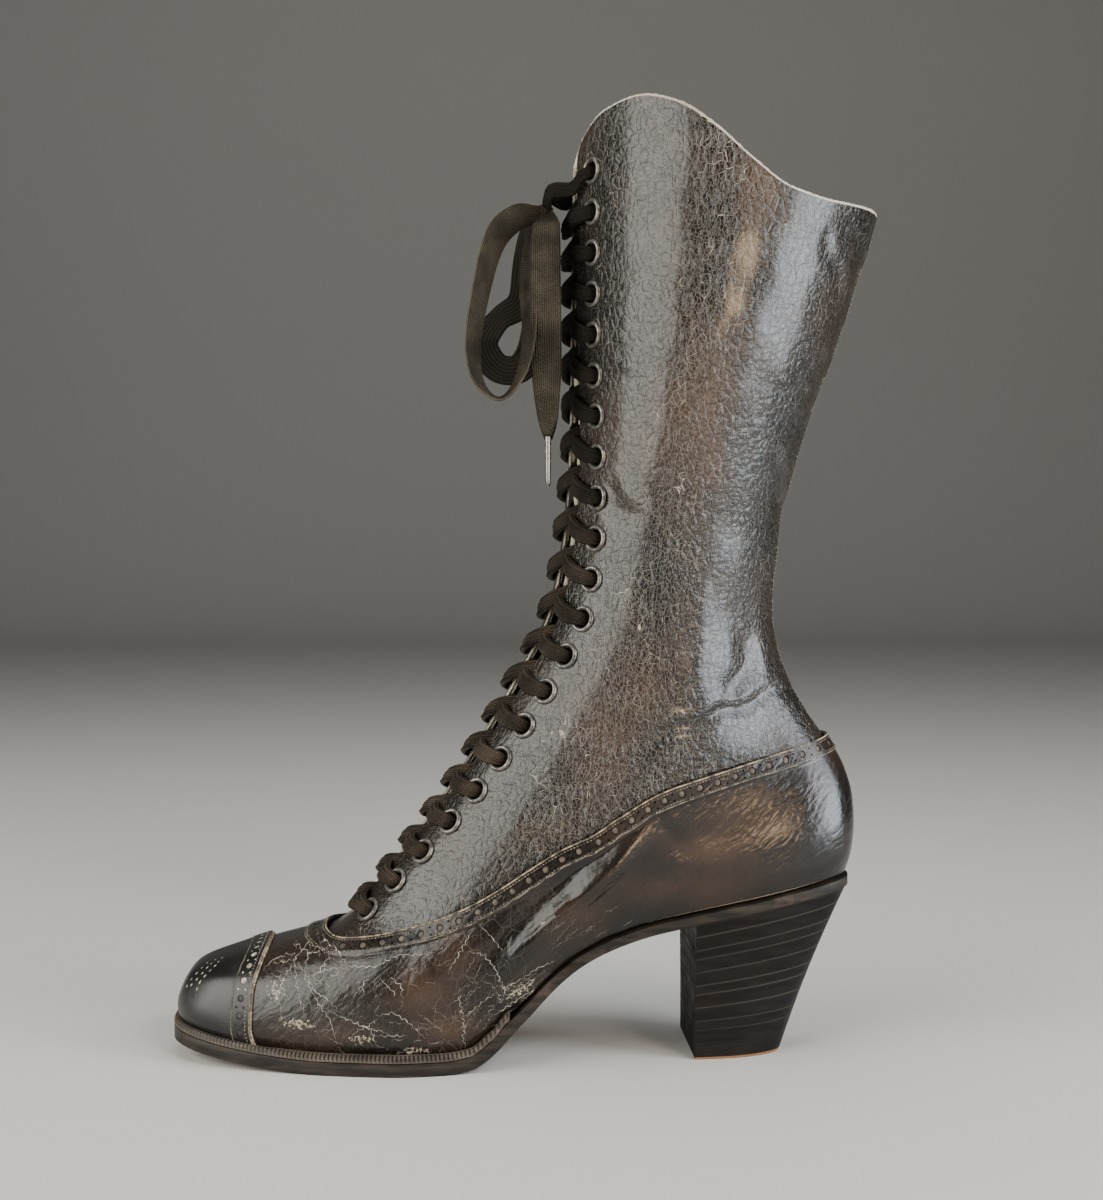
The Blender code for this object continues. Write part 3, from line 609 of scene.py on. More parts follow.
def build_crazing():
    """Crazed glaze: a net of fine broken lines at two sizes, and the grain between them."""
    tree = new_group("crazing", {"Cells": 210.0, "Line": 0.05, "Stretch": 0.72, "Lean": 0.0},
                     ("Lines", "Fine", "Grain", "Wrinkle", "Pillow"))
    into = tree.nodes.new("NodeGroupInput")
    out = tree.nodes.new("NodeGroupOutput")

    def vectors(operation, first, **second):
        return node(tree, "ShaderNodeVectorMath", {"operation": operation}, in_0=first, **second).outputs[0]

    def to_cell_edge(place, scale):
        made = node(tree, "ShaderNodeTexVoronoi", {"feature": "DISTANCE_TO_EDGE"}, Vector=place, Scale=scale)
        return made.outputs["Distance"]

    place = node(tree, "ShaderNodeTexCoord").outputs["Object"]
    wander = node(tree, "ShaderNodeTexNoise", Vector=place, Scale=70.0, Detail=3.0)
    moved = vectors("ADD", place, in_1=vectors("SCALE", wander.outputs["Color"], Scale=0.005))
    shape = node(tree, "ShaderNodeCombineXYZ", X=1.0, Y=1.0, Z=into.outputs["Stretch"])
    long = vectors("MULTIPLY", moved, in_1=shape.outputs[0])
    patchy = noise(tree, place, 95.0, 3.0)
    wide = to_cell_edge(long, into.outputs["Cells"])
    width = times(tree, into.outputs["Line"], spread(tree, patchy, 0.38, 0.68, 0.05, 1.7))
    between = spread(tree, maths(tree, "DIVIDE", wide, width), 0.35, 1.0, 0.0, 1.0)
    small = to_cell_edge(long, times(tree, into.outputs["Cells"], 2.7))
    leaning = node(tree, "ShaderNodeVectorRotate", {"rotation_type": "Y_AXIS"}, Vector=moved,
                   Angle=into.outputs["Lean"])
    flat = vectors("MULTIPLY", leaning.outputs[0], in_1=(1.0, 1.0, 2.6))
    lines = maths(tree, "SUBTRACT", 1.0, between)
    feed(tree, out, Lines=lines, Fine=spread(tree, small, 0.0, 0.11, 1.0, 0.0),
         Grain=noise(tree, long, 1500.0, 2.0), Wrinkle=noise(tree, flat, 230.0, 1.5, Roughness=0.5),
         Pillow=spread(tree, wide, 0.0, 0.24, 0.0, 1.0))
    return tree


crazing = build_crazing()
BARE_HIDE = (0.34, 0.30, 0.22, 1.0)
WORN_BROWN = (0.046, 0.025, 0.015, 1.0)


def kid_leather(name, black, crack_and_glint, cells, line, craze, rough, coat, relief, lean=0.0, shine=0.5):
    """Glazed kid: dark, glossy, with pale broken lines where the glaze has crazed; their pale is partly the
    opened hide and partly a painted glint.

    craze is the name of the point value that says how crazed the leather is, or one number for it all.
    The point values named flake and brown, where a piece has them, say where the glaze is rubbed off and
    where the black has worn to brown. The wrinkles lean from level by the angle lean, and shine is the
    hide's own gloss.
    """
    material, tree, shader, place = new_material(name)
    net = node(tree, "ShaderNodeGroup", {"node_tree": crazing}, Cells=cells, Line=line, Lean=lean)
    cloud = noise(tree, place, 26.0, 4.0)
    if isinstance(craze, str):
        amount = point_value(tree, craze)
    else:
        amount = spread(tree, cloud, 0.3, 0.7, 0.5 * craze, 1.5 * craze)
    strong = times(tree, net.outputs["Lines"], amount)
    faint = times(tree, times(tree, net.outputs["Fine"], amount), 0.16)
    shown = maths(tree, "MAXIMUM", strong, faint)
    worn = blend_colours(tree, spread(tree, cloud, 0.35, 0.7, 0.0, 1.0), *black)
    patchy = times(tree, point_value(tree, "brown"), spread(tree, cloud, 0.3, 0.65, 0.25, 1.0))
    worn = blend_colours(tree, patchy, worn, WORN_BROWN)
    speck = noise(tree, place, 900.0, 4.0, Roughness=0.75)
    rubbed = point_value(tree, "flake")
    bare = spread(tree, plus(tree, speck, times(tree, rubbed, 0.27)), 0.73, 0.79, 0.0, 1.0)
    bare = times(tree, bare, spread(tree, rubbed, 0.0, 0.3, 0.0, 1.0))
    # The crack colour on the crazing lines is partly the opened hide and partly a painted glint.
    colour = blend_colours(tree, bare, blend_colours(tree, shown, worn, crack_and_glint), BARE_HIDE)
    gloss = plus(tree, spread(tree, cloud, 0.3, 0.7, rough * 0.85, rough * 1.2), times(tree, shown, 0.3))
    skin = plus(tree, times(tree, net.outputs["Grain"], 0.14), times(tree, net.outputs["Wrinkle"], 2.2))
    puffed = plus(tree, times(tree, amount, 1.1), 0.15)
    skin = plus(tree, skin, times(tree, net.outputs["Pillow"], puffed))
    cracked = plus(tree, times(tree, amount, 0.32), 0.05)
    cut = plus(tree, times(tree, net.outputs["Fine"], cracked), times(tree, strong, 0.9))
    height = maths(tree, "SUBTRACT", skin, cut)
    feed(tree, shader, Base_Color=colour, Roughness=gloss, Normal=relief_of(tree, height, 1.0, relief * MM),
         Coat_Weight=coat, Coat_Roughness=0.16, Specular_IOR_Level=shine)
    return material


KID_BLACK = ((0.0050, 0.0045, 0.0040, 1.0), (0.020, 0.0115, 0.0075, 1.0))
# Colours of the crazing lines: partly the opened hide, partly painted glints.
CRACK_PALE_AND_GLINT = (0.24, 0.21, 0.17, 1.0)
quarter_kid = kid_leather("crazed_quarter_kid", KID_BLACK, (0.38, 0.34, 0.27, 1.0), cells=330.0, line=0.015,
                          craze="craze", rough=0.25, coat=0.38, relief=0.24, shine=0.42)


def cotton_cloth(name, colour, shade, threads):
    """Plain woven cloth, soiled in soft patches."""
    material, tree, shader, place = new_material(name)
    soil = noise(tree, place, 30.0, 5.0)
    waves = [
        node(tree, "ShaderNodeTexWave", {"bands_direction": way}, Vector=place, Scale=threads, Distortion=0.6)
        for way in ("Z", "X")
    ]
    weave = maths(tree, "MAXIMUM", *[wave.outputs["Fac"] for wave in waves])
    cloth = blend_colours(tree, spread(tree, soil, 0.35, 0.7, 0.0, 1.0), colour, shade)
    feed(tree, shader, Base_Color=cloth, Roughness=0.9, Normal=relief_of(tree, weave, 0.5, 0.00012))
    return material


lining_cotton = cotton_cloth("cream_lining_cotton", (0.55, 0.47, 0.35, 1.0), (0.36, 0.28, 0.19, 1.0), 420.0)
collar_edge = cotton_cloth("raw_collar_edge", (0.62, 0.57, 0.47, 1.0), (0.40, 0.34, 0.26, 1.0), 500.0)
FACING_TONES = ((0.10, 0.085, 0.065, 1.0), (0.52, 0.47, 0.38, 1.0))
facing_edge = kid_leather("worn_facing_edge", FACING_TONES, CRACK_PALE_AND_GLINT, cells=500.0, line=0.08, craze=0.5,
                          rough=0.5, coat=0.0, relief=0.10)
UNDERLAY_TONES = ((0.09, 0.075, 0.06, 1.0), (0.20, 0.165, 0.125, 1.0))
dusty_underlay = kid_leather("dusty_underlay", UNDERLAY_TONES, CRACK_PALE_AND_GLINT, cells=400.0, line=0.08, craze=0.4,
                             rough=0.7, coat=0.0, relief=0.10)
for place, material in enumerate((quarter_kid, lining_cotton, facing_edge, collar_edge, dusty_underlay)):
    upper.data.materials[place] = material
COLLAR_LOWEST = 300.0
under = marked(upper, "covered")
for face in upper.data.polygons:
    middle = face.center / MM
    if face.material_index == FACING_RIM and middle.z > COLLAR_LOWEST and abs(face.normal.z) > 0.5:
        face.material_index = COLLAR_RIM
    elif face.material_index == OUTSIDE and under[list(face.vertices)].mean() > 0.6:
        face.material_index = UNDERLAY


def face_outwards(merge=0.0, fill=False):
    """Turns the active piece's faces outwards, with its near points merged or its open ends filled first."""
    bpy.ops.object.mode_set(mode="EDIT")
    bpy.ops.mesh.select_all(action="SELECT")
    if merge:
        bpy.ops.mesh.remove_doubles(threshold=merge)
    if fill:
        bpy.ops.mesh.fill_holes(sides=0)
    bpy.ops.mesh.normals_make_consistent(inside=False)
    bpy.ops.object.mode_set(mode="OBJECT")


ROLL_MERGE = 0.000005  # metres


def roll_along(name, line, radius, rough, closed=False):
    """A fine rolled edge along the line, its thickness uneven by that share."""
    curve = bpy.data.curves.new(name, "CURVE")
    curve.dimensions = "3D"
    spline = curve.splines.new("POLY")
    spline.points.add(len(line) - 1)
    spline.use_cyclic_u = closed
    for k, (control, point) in enumerate(zip(spline.points, line)):
        uneven = math.sin(2.3 * k) * math.sin(0.71 * k + 1.0) + 0.5 * math.sin(5.1 * k)
        control.co = (*(point * MM), 1.0)
        control.radius = 1.0 + rough * uneven
    curve.bevel_depth = radius * MM
    curve.bevel_resolution = 2
    curve.use_fill_caps = True
    piece = bpy.data.objects.new(name, curve)
    bpy.context.scene.collection.objects.link(piece)
    select_only(piece)
    bpy.ops.object.convert(target="MESH")
    face_outwards(merge=ROLL_MERGE)
    bpy.ops.object.shade_smooth()
    return bpy.context.object


COLLAR_ROLL = 0.85
COLLAR_STEPS = 520
collar_line = []
for k in range(COLLAR_STEPS + 1):
    angle = mix(*facing_angles(float(TOP_LEVEL)), k / COLLAR_STEPS)
    collar_line.append(upper_point(TOP_LEVEL, angle) - upper_normal(TOP_LEVEL, angle) * 0.5 * WALL)
collar_roll = roll_along("raw_collar_edge", collar_line, COLLAR_ROLL, 0.16)
collar_roll.data.materials.append(collar_edge)
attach(collar_roll, "root")
FACING_ROLL = 0.5
FACING_LEVELS = (4.25, 11.98)
FACING_STEPS = 260
FACING_ROLL_DEPTH = 0.35 * WALL
for end_of_facing, facing in ((0, "outer"), (1, "inner")):
    facing_line = []
    for k in range(FACING_STEPS + 1):
        t = mix(*FACING_LEVELS, k / FACING_STEPS)
        angle = facing_angles(t)[end_of_facing]
        facing_line.append(upper_point(t, angle) - upper_normal(t, angle) * FACING_ROLL_DEPTH)
    facing_roll = roll_along(f"raw_facing_edge_{facing}", facing_line, FACING_ROLL, 0.2)
    facing_roll.data.materials.append(facing_edge)
    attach(facing_roll, "root")


# The vamp and foxing. One overlay of the same kid round the whole foot, with a brogued strip along its top
# edge: round punched holes and pairs of pin pricks, sewn down by a row of stitches at each side.
VAMP_LOWEST_LEVEL = 0.22
VAMP_THICKNESS = 0.9
VAMP_COLUMNS = 150
VAMP_ROWS = 30
STRIP_AT_THROAT = 8.4
STRIP_AT_SIDE = 6.2
STRIP_RAISE = 0.55
HOLE_PITCH = 6.9
HOLE_RADIUS = 1.36
PRICK_RADIUS = 0.36
PRICK_APART = 1.25
PUNCH_DEPTH = 4.0
VAMP_WAVE = 0.35
VAMP_INNER_SHIFT = (-4.0, 0.0, 2.0)
VAMP_CREASES = (
    (-8.0, 34.0, 36.0, 78.0, -2.7, 4.6),
    (-9.0, 25.0, 9.0, 37.0, 0.55, 1.6),
    (-13.0, 24.0, 2.0, 41.0, 0.45, 1.6),
    (-3.0, 22.0, 16.0, 33.0, 0.45, 1.4),
    (-30.0, 18.0, -20.0, 44.0, 0.25, 4.0),
    (-46.0, 30.0, -40.0, 44.0, 0.30, 4.5),
    (-74.0, 22.0, -66.0, 40.0, 0.20, 2.4),
    (44.0, 88.0, 58.0, 74.0, 0.30, 2.2),
)


def vamp_spot(across, up):
    t = mix(VAMP_LOWEST_LEVEL, foxing_level(2 * math.pi * across), up ** 0.85)
    return t, mix(*facing_angles(t), across)


def place_vamp(across, up):
    t, angle = vamp_spot(across, up)
    return upper_point(t, angle) + upper_normal(t, angle) * CLEARANCE


def skin_of(piece):
    """The piece's faces, in millimetres, for other things to be laid on."""
    return BVHTree.FromPolygons(
        [tuple(p) for p in points_of(piece) / MM], [tuple(f.vertices) for f in piece.data.polygons]
    )


def edge_run(line):
    """Lengths along a line of points, from its start."""
    return np.concatenate(([0.0], np.cumsum([(b - a).length for a, b in zip(line, line[1:])])))


SKIN_REACH = 3.0  # how far out from an edge the search for the skin's outer face starts


def seam_spots(line, inward, skin, pitch, depth, start=0.0, end=None):
    """Spots at each pitch along an edge, depth(share) inside it and laid on the skin's outer face.

    Each spot is its point, the skin's normal there and the way along the edge.
    """
    travelled = edge_run(line)
    end = travelled[-1] if end is None else end
    count = max(1, round((end - start) / pitch))
    spots = []
    for k in range(count):
        far = mix(start, end, (k + 0.5) / count)
        i = min(len(line) - 2, int(np.searchsorted(travelled, far, side="right")) - 1)
        share = (far - travelled[i]) / max(1e-6, travelled[i + 1] - travelled[i])
        along = (line[i + 1] - line[i]).normalized()
        into = inward[i].lerp(inward[i + 1], share)
        into = (into - along * into.dot(along)).normalized()
        base = line[i].lerp(line[i + 1], share) + into * depth(far / travelled[-1])
        out = along.cross(into) * SKIN_REACH
        faces = [skin.find_nearest(base + away) for away in (out, -out)]
        point, normal, _, _ = min(faces, key=lambda found: found[3])
        spots.append((point, normal, (along - normal * along.dot(normal)).normalized()))
    return spots


def stand_at(point, normal, along, size=(1.0, 1.0, 1.0)):
    """The place of a thing with its own X along, its own Z along the normal, and that size."""
    aside = normal.cross(along)
    turn = Matrix((along, aside, normal)).transposed().to_4x4()
    return Matrix.Translation(point) @ turn @ Matrix.Diagonal((*size, 1.0))


def new_piece(name, points, faces):
    """A piece made of those points, in millimetres, and faces."""
    mesh = bpy.data.meshes.new(name)
    mesh.from_pydata([tuple(p * MM) for p in points], [], faces)
    piece = bpy.data.objects.new(name, mesh)
    bpy.context.scene.collection.objects.link(piece)
    return piece


def copies(name, pattern, places):
    """One mesh made of a copy of the pattern's mesh, in millimetres, at each place."""
    shape = np.array([v.co for v in pattern.data.vertices])
    faces = [list(f.vertices) for f in pattern.data.polygons]
    points, polygons = [], []
    for place in places:
        turned = np.array(place)
        points.append(shape @ turned[:3, :3].T + turned[:3, 3])
        first = len(shape) * (len(points) - 1)
        polygons += [[first + v for v in face] for face in faces]
    piece = new_piece(name, np.concatenate(points), polygons)
    piece.data.shade_smooth()
    return piece


def pattern_of(operator, **settings):
    """A primitive to copy, in millimetres. It is thrown away once it is copied."""
    bpy.ops.object.select_all(action="DESELECT")
    operator(**settings)
    return bpy.context.object


def punch(piece, places):
    """Cuts a round hole through the piece at each place, whose size is the hole's."""
    pin = pattern_of(bpy.ops.mesh.primitive_cylinder_add, vertices=12, radius=1.0, depth=1.0)
    punches = copies("punches", pin, places)
    work(piece, "BOOLEAN", operation="DIFFERENCE", object=punches, solver="EXACT")
    bpy.data.objects.remove(punches)
    bpy.data.objects.remove(pin)
    select_only(piece)
    bpy.ops.object.shade_smooth_by_angle(angle=math.radians(42))


SEAM_STEPS = 600
STRIP_EDGE = 0.5
VAMP_CRAZE_LEAST = 0.03
VAMP_CRAZE_FRONT = 0.12
vamp = leather_grid("vamp_and_foxing", VAMP_COLUMNS, VAMP_ROWS, place_vamp)
work(vamp, "SUBSURF", levels=1, render_levels=1)
seam_shares = [k / SEAM_STEPS for k in range(SEAM_STEPS + 1)]
seam_line = [place_vamp(share, 1.0) for share in seam_shares]
seam_inward = [place_vamp(share, 0.97) - place_vamp(share, 1.0) for share in seam_shares]


def strip_width(share):
    return mix(STRIP_AT_THROAT, STRIP_AT_SIDE, float(fade(0.015, 0.10, min(share, 1 - share))))


vamp_points = points_of(vamp) / MM
vamp_normals = points_of(vamp, "normal")
seam_array = np.array([tuple(p) for p in seam_line])
from_edge = np.empty(len(vamp_points))
strip_here = np.empty(len(vamp_points))
strip_widths = np.array([strip_width(share) for share in seam_shares])
for k, point in enumerate(vamp_points):
    apart = np.linalg.norm(seam_array - point, axis=1)
    nearest = int(apart.argmin())
    from_edge[k] = apart[nearest]
    strip_here[k] = strip_widths[nearest]
raised = STRIP_RAISE * (1 - fade(-STRIP_EDGE, STRIP_EDGE, from_edge - strip_here))
vamp_sunk = sink_creases(vamp_points, vamp_normals, VAMP_CREASES, VAMP_INNER_SHIFT, VAMP_WAVE)
vamp_sunk *= fade(0.0, 3.0, from_edge - strip_here)
move_points(vamp, (vamp_points + vamp_normals * (raised - vamp_sunk)[:, None]) * MM)
vamp_front = (1 - fade(0.0, 30.0, vamp_points[:, 0])) * fade(-100.0, -88.0, vamp_points[:, 0])
mark(vamp, "craze", VAMP_CRAZE_LEAST + VAMP_CRAZE_FRONT * vamp_front)
RUBBED = (  # the places where the glaze has flaked off
    (-88.0, 27.0, 4.0, 5.0),
    (-80.0, 17.0, 9.0, 2.6),
    (-58.0, 12.5, 6.0, 2.0),
    (-40.0, 8.5, 10.0, 2.0),
    (-4.0, 29.0, 9.0, 5.0),
)
mark(vamp, "flake", patches(vamp_points, RUBBED))
BROWN_VAMP = (
    (-38.0, 30.0, 9.0, 8.0),
    (-25.0, 42.0, 9.0, 8.0),
    (-30.0, 16.0, 15.0, 5.0),
    (-62.0, 14.0, 12.0, 4.0),
    (18.0, 56.0, 12.0, 8.0),
    (42.0, 63.0, 20.0, 6.0),
    (63.0, 78.0, 16.0, 5.0),
    (80.0, 88.0, 14.0, 6.0),
)
mark(vamp, "brown", patches(vamp_points, BROWN_VAMP))
work(vamp, "SOLIDIFY", thickness=VAMP_THICKNESS * MM, offset=1.0)
vamp_skin = skin_of(vamp)


def strip_middle(share):
    return 0.52 * strip_width(share)


def strip_spots(pitch, depth, *ends):
    """Spots along the strip, depth(share) inside its top edge, all along it or between those ends."""
    return seam_spots(seam_line, seam_inward, vamp_skin, pitch, depth, *ends)


hole_spots = strip_spots(HOLE_PITCH, strip_middle)
holes = [stand_at(*spot, (HOLE_RADIUS, HOLE_RADIUS, PUNCH_DEPTH)) for spot in hole_spots]
for row in (-PRICK_APART, PRICK_APART):
    prick_spots = strip_spots(HOLE_PITCH, lambda share: strip_middle(share) + row, 0.5 * HOLE_PITCH,
                              edge_run(seam_line)[-1] + 0.5 * HOLE_PITCH)
    holes += [stand_at(*spot, (PRICK_RADIUS, PRICK_RADIUS, PUNCH_DEPTH)) for spot in prick_spots]
punch(vamp, holes)
FOLD_LEAN = math.radians(42)  # the wrinkles of the foot run up towards the heel
vamp_kid = kid_leather("vamp_kid", KID_BLACK, (0.34, 0.31, 0.26, 1.0), cells=190.0, line=0.010, craze="craze",
                       rough=0.26, coat=0.26, relief=0.15, lean=FOLD_LEAN, shine=0.36)
vamp.data.materials.append(vamp_kid)
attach(vamp, "root")
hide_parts("vamp_foxing")


def raw_edge(name, colour, shade):
    """The cut or folded edge of leather, fibrous, dusty and rubbed."""
    material, tree, shader, place = new_material(name)
    fibre = noise(tree, place, 420.0, 4.0)
    paint = blend_colours(tree, spread(tree, fibre, 0.35, 0.65, 0.0, 1.0), colour, shade)
    feed(tree, shader, Base_Color=paint, Roughness=0.6, Normal=relief_of(tree, fibre, 0.8, 0.00015))
    return material


def dust_in(name, spots, size, sink):
    """Dust packed in punched holes: a low mound in each, sink millimetres below the leather's face."""
    mound = pattern_of(bpy.ops.mesh.primitive_ico_sphere_add, subdivisions=2, radius=1.0)
    piece = copies(name, mound, [stand_at(point - normal * (sink + size[2]), normal, along, size)
                                 for point, normal, along in spots])
    bpy.data.objects.remove(mound)
    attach(piece, "root")
    return piece


def sew(name, spots, size, thread):
    """A row of stitches, one at each spot, half sunk in the leather."""
    stitch = pattern_of(bpy.ops.mesh.primitive_ico_sphere_add, subdivisions=1, radius=1.0)
    piece = copies(name, stitch, [stand_at(point, normal, along, size) for point, normal, along in spots])
    bpy.data.objects.remove(stitch)
    piece.data.materials.append(thread)
    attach(piece, "root")
    return piece


HOLE_DUST_SHARE = 0.96  # of the hole's size
HOLE_DUST_HEIGHT = 0.35
HOLE_DUST_SINK = 0.18
hole_dust = raw_edge("dust_in_holes", (0.045, 0.035, 0.026, 1.0), (0.125, 0.100, 0.074, 1.0))
seam_thread = raw_edge("seam_thread", (0.045, 0.038, 0.030, 1.0), (0.20, 0.17, 0.125, 1.0))
mound_size = (HOLE_DUST_SHARE * HOLE_RADIUS, HOLE_DUST_SHARE * HOLE_RADIUS, HOLE_DUST_HEIGHT)
brogue_dust = dust_in("brogue_dust", hole_spots, mound_size, HOLE_DUST_SINK)
brogue_dust.data.materials.append(hole_dust)

STITCH_PITCH = 1.25
STITCH_SIZE = (0.52, 0.27, 0.30)
UPPER_STITCH_AT = 1.35  # inside the strip's top edge
LOWER_STITCH_AT = 0.7  # inside the strip's foot
upper_row = strip_spots(STITCH_PITCH, lambda share: UPPER_STITCH_AT)
sew("strip_stitches_upper", upper_row, STITCH_SIZE, seam_thread)
lower_row = strip_spots(STITCH_PITCH, lambda share: strip_width(share) - LOWER_STITCH_AT)
sew("strip_stitches_lower", lower_row, STITCH_SIZE, seam_thread)

STAY_STITCH_AT = 4.0  # on each side of the back's middle
STAY_STITCH_HEIGHTS = (121.0, 294.0)
STAY_STITCH_PITCH = 1.5
BEHIND_BOOT = 220.0
upper_skin = skin_of(upper)
stay_spots = []
for aside in (-STAY_STITCH_AT, STAY_STITCH_AT):
    for height in np.arange(*STAY_STITCH_HEIGHTS, STAY_STITCH_PITCH):
        behind = Vector((BEHIND_BOOT, aside, height))
        point, normal, _, _ = upper_skin.ray_cast(behind, Vector((-1.0, 0.0, 0.0)))
        along = Vector((0.0, 0.0, 1.0))
        stay_spots.append((point, normal, (along - normal * along.dot(normal)).normalized()))
sew("stay_stitches", stay_spots, STITCH_SIZE, seam_thread)

FOLD_AT = 0.35  # inside the strip's top edge
FOLD_RAISE = 0.02
FOLD_REACH = 2.0
FOLD_RADIUS = 0.30
fold_line = [
    vamp_skin.find_nearest(point + normal * FOLD_REACH)[0] + normal * FOLD_RAISE
    for point, normal, _ in strip_spots(1.0, lambda share: FOLD_AT)
]
strip_fold = roll_along("strip_folded_edge", fold_line, FOLD_RADIUS, 0.10, closed=True)
# The fold's gold-tan is partly rubbed leather and partly a painted highlight along the edge.
rubbed_fold_and_glint = raw_edge("rubbed_fold_and_glint", (0.045, 0.037, 0.026, 1.0), (0.38, 0.30, 0.185, 1.0))
strip_fold.data.materials.append(rubbed_fold_and_glint)
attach(strip_fold, "root")

RIDGE_AT = 0.15  # outside the strip's foot
RIDGE_RADIUS = 0.22
foot_line = [point for point, _, _ in strip_spots(0.9, lambda share: strip_width(share) + RIDGE_AT)]
strip_ridge = roll_along("strip_lower_edge", foot_line, RIDGE_RADIUS, 0.08, closed=True)
# The ridge's pale tan is partly rubbed leather and partly a painted highlight along the edge.
rubbed_ridge_and_glint = raw_edge("rubbed_ridge_and_glint", (0.030, 0.025, 0.020, 1.0), (0.22, 0.185, 0.135, 1.0))
strip_ridge.data.materials.append(rubbed_ridge_and_glint)
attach(strip_ridge, "root")


# Long cracks of the vamp's outer side, read along the foot and up: each opens the glaze to the pale hide
CRACKS = (
    ((-79, 55), (-77, 49), (-78, 42), (-82, 38), (-81, 30), (-79, 23), (-77, 18)),
    ((-81, 37), (-77, 31), (-73, 24), (-69, 19), (-67, 12)),
    ((-75, 45), (-69, 39), (-63, 37), (-54, 37), (-46, 41), (-34, 42), (-29, 45)),
    ((-69, 40), (-73, 35), (-78, 32)),
    ((-63, 37), (-65, 33)),
    ((-82, 38), (-85, 33), (-87, 29), (-88, 23)),
    ((-73, 24), (-65, 20), (-57, 17), (-50, 15), (-47, 14)),
    ((-55, 16), (-53, 11)),
    ((-59, 14), (-61, 12)),
    ((-53, 21), (-47, 22), (-42, 19), (-38, 15), (-36, 13)),
    ((-48, 34), (-44, 31), (-44, 27)),
    ((-57, 32), (-61, 27)),
    ((-24, 31), (-24, 26), (-23, 20), (-22, 16), (-23, 12), (-22, 9)),
    ((-23, 20), (-20, 22), (-15, 26), (-10, 29)),
    ((-22, 43), (-16, 42), (-12, 38), (-10, 33), (-8, 29), (-9, 24)),
    ((-17, 52), (-13, 48), (-9, 43)),
    ((-19, 51), (-23, 44), (-27, 38), (-28, 35)),
    ((-86, 44), (-81, 41), (-76, 40), (-70, 42)),
    ((-84, 50), (-80, 46), (-78, 42)),
    ((-90, 36), (-85, 37), (-82, 38)),
    ((-10, 29), (-4, 32), (3, 36), (9, 38)),
    ((-14, 23), (-7, 26), (0, 31), (6, 34)),
    ((-12, 20), (-5, 24), (2, 28)),
    ((-81, 37), (-78, 34), (-76, 31), (-74, 28), (-70, 26), (-67, 23), (-65, 21)),
    ((-77, 44), (-77, 41), (-78, 37), (-78, 35)),
    ((-77, 33), (-74, 34), (-72, 35), (-68, 36), (-65, 36), (-62, 37)),
    ((-73, 31), (-71, 33), (-67, 34), (-65, 36)),
    ((-52, 34), (-49, 31), (-46, 28)),
    ((-55, 34), (-58, 31), (-57, 28)),
    ((-93, 34), (-90, 37), (-85, 39), (-82, 39)),
    ((-90, 33), (-86, 31), (-83, 32)),
    ((-62, 13), (-59, 16), (-56, 17), (-52, 20)),
    ((-54, 14), (-48, 14), (-42, 14)),
    ((-83, 47), (-83, 43), (-82, 39)),
    ((-75, 47), (-73, 45), (-70, 43), (-67, 42), (-65, 39), (-62, 37)),
)
CRACK_HALF_WIDTH = 0.20
SHORT_CRACK_SHARE = 0.45  # of that width
CRACK_STEP = 0.7
CRACK_SINK = 0.12
BESIDE_BOOT = 90.0


def crack_stations(line, number):
    """A wandering line on the vamp's outer face through the crack's points, from its start to its end."""
    travelled = edge_run([Vector(point) for point in line])
    count = max(4, round(travelled[-1] / CRACK_STEP))
    stations = []
    for k in range(count + 1):
        far = travelled[-1] * k / count
        x = np.interp(far, travelled, [point[0] for point in line])
        z = np.interp(far, travelled, [point[1] for point in line])
        x += 0.35 * math.sin(1.9 * k + number) + 0.2 * math.sin(4.3 * k + 2 * number)
        z += 0.35 * math.sin(1.6 * k + 3 * number) + 0.2 * math.sin(3.7 * k + number)
        beside = Vector((x, -BESIDE_BOOT, z))
        point, normal, _, _ = vamp_skin.ray_cast(beside, Vector((0.0, 1.0, 0.0)))
        if point is None:
            continue
        taper = max(0.25, math.sin(math.pi * k / count)) ** 0.5
        taper *= 1.0 if number < len(CRACKS) else SHORT_CRACK_SHARE
        swell = 0.7 + 0.5 * abs(math.sin(0.9 * k + number))
        stations.append((point, normal, CRACK_HALF_WIDTH * taper * swell))
    return stations


def crack_mesh(name, lines):
    """Thin pale ridges of raised glaze, three-sided, lying on the leather."""
    points, faces = [], []
    for stations in lines:
        first = len(points)
        for k, (middle, normal, half) in enumerate(stations):
            along = stations[min(len(stations) - 1, k + 1)][0] - stations[max(0, k - 1)][0]
            aside = normal.cross(along).normalized()
            points += [middle - aside * half - normal * CRACK_SINK, middle + normal * 0.5 * half,
                       middle + aside * half - normal * CRACK_SINK]
        for k in range(len(stations) - 1):
            low, high = first + 3 * k, first + 3 * (k + 1)
            for a, b in ((0, 1), (1, 2), (2, 0)):
                faces.append((low + a, high + a, high + b, low + b))
        last = first + 3 * (len(stations) - 1)
        faces += [(first, first + 1, first + 2), (last + 2, last + 1, last)]
    piece = new_piece(name, points, faces)
    select_only(piece)
    face_outwards()
    return piece


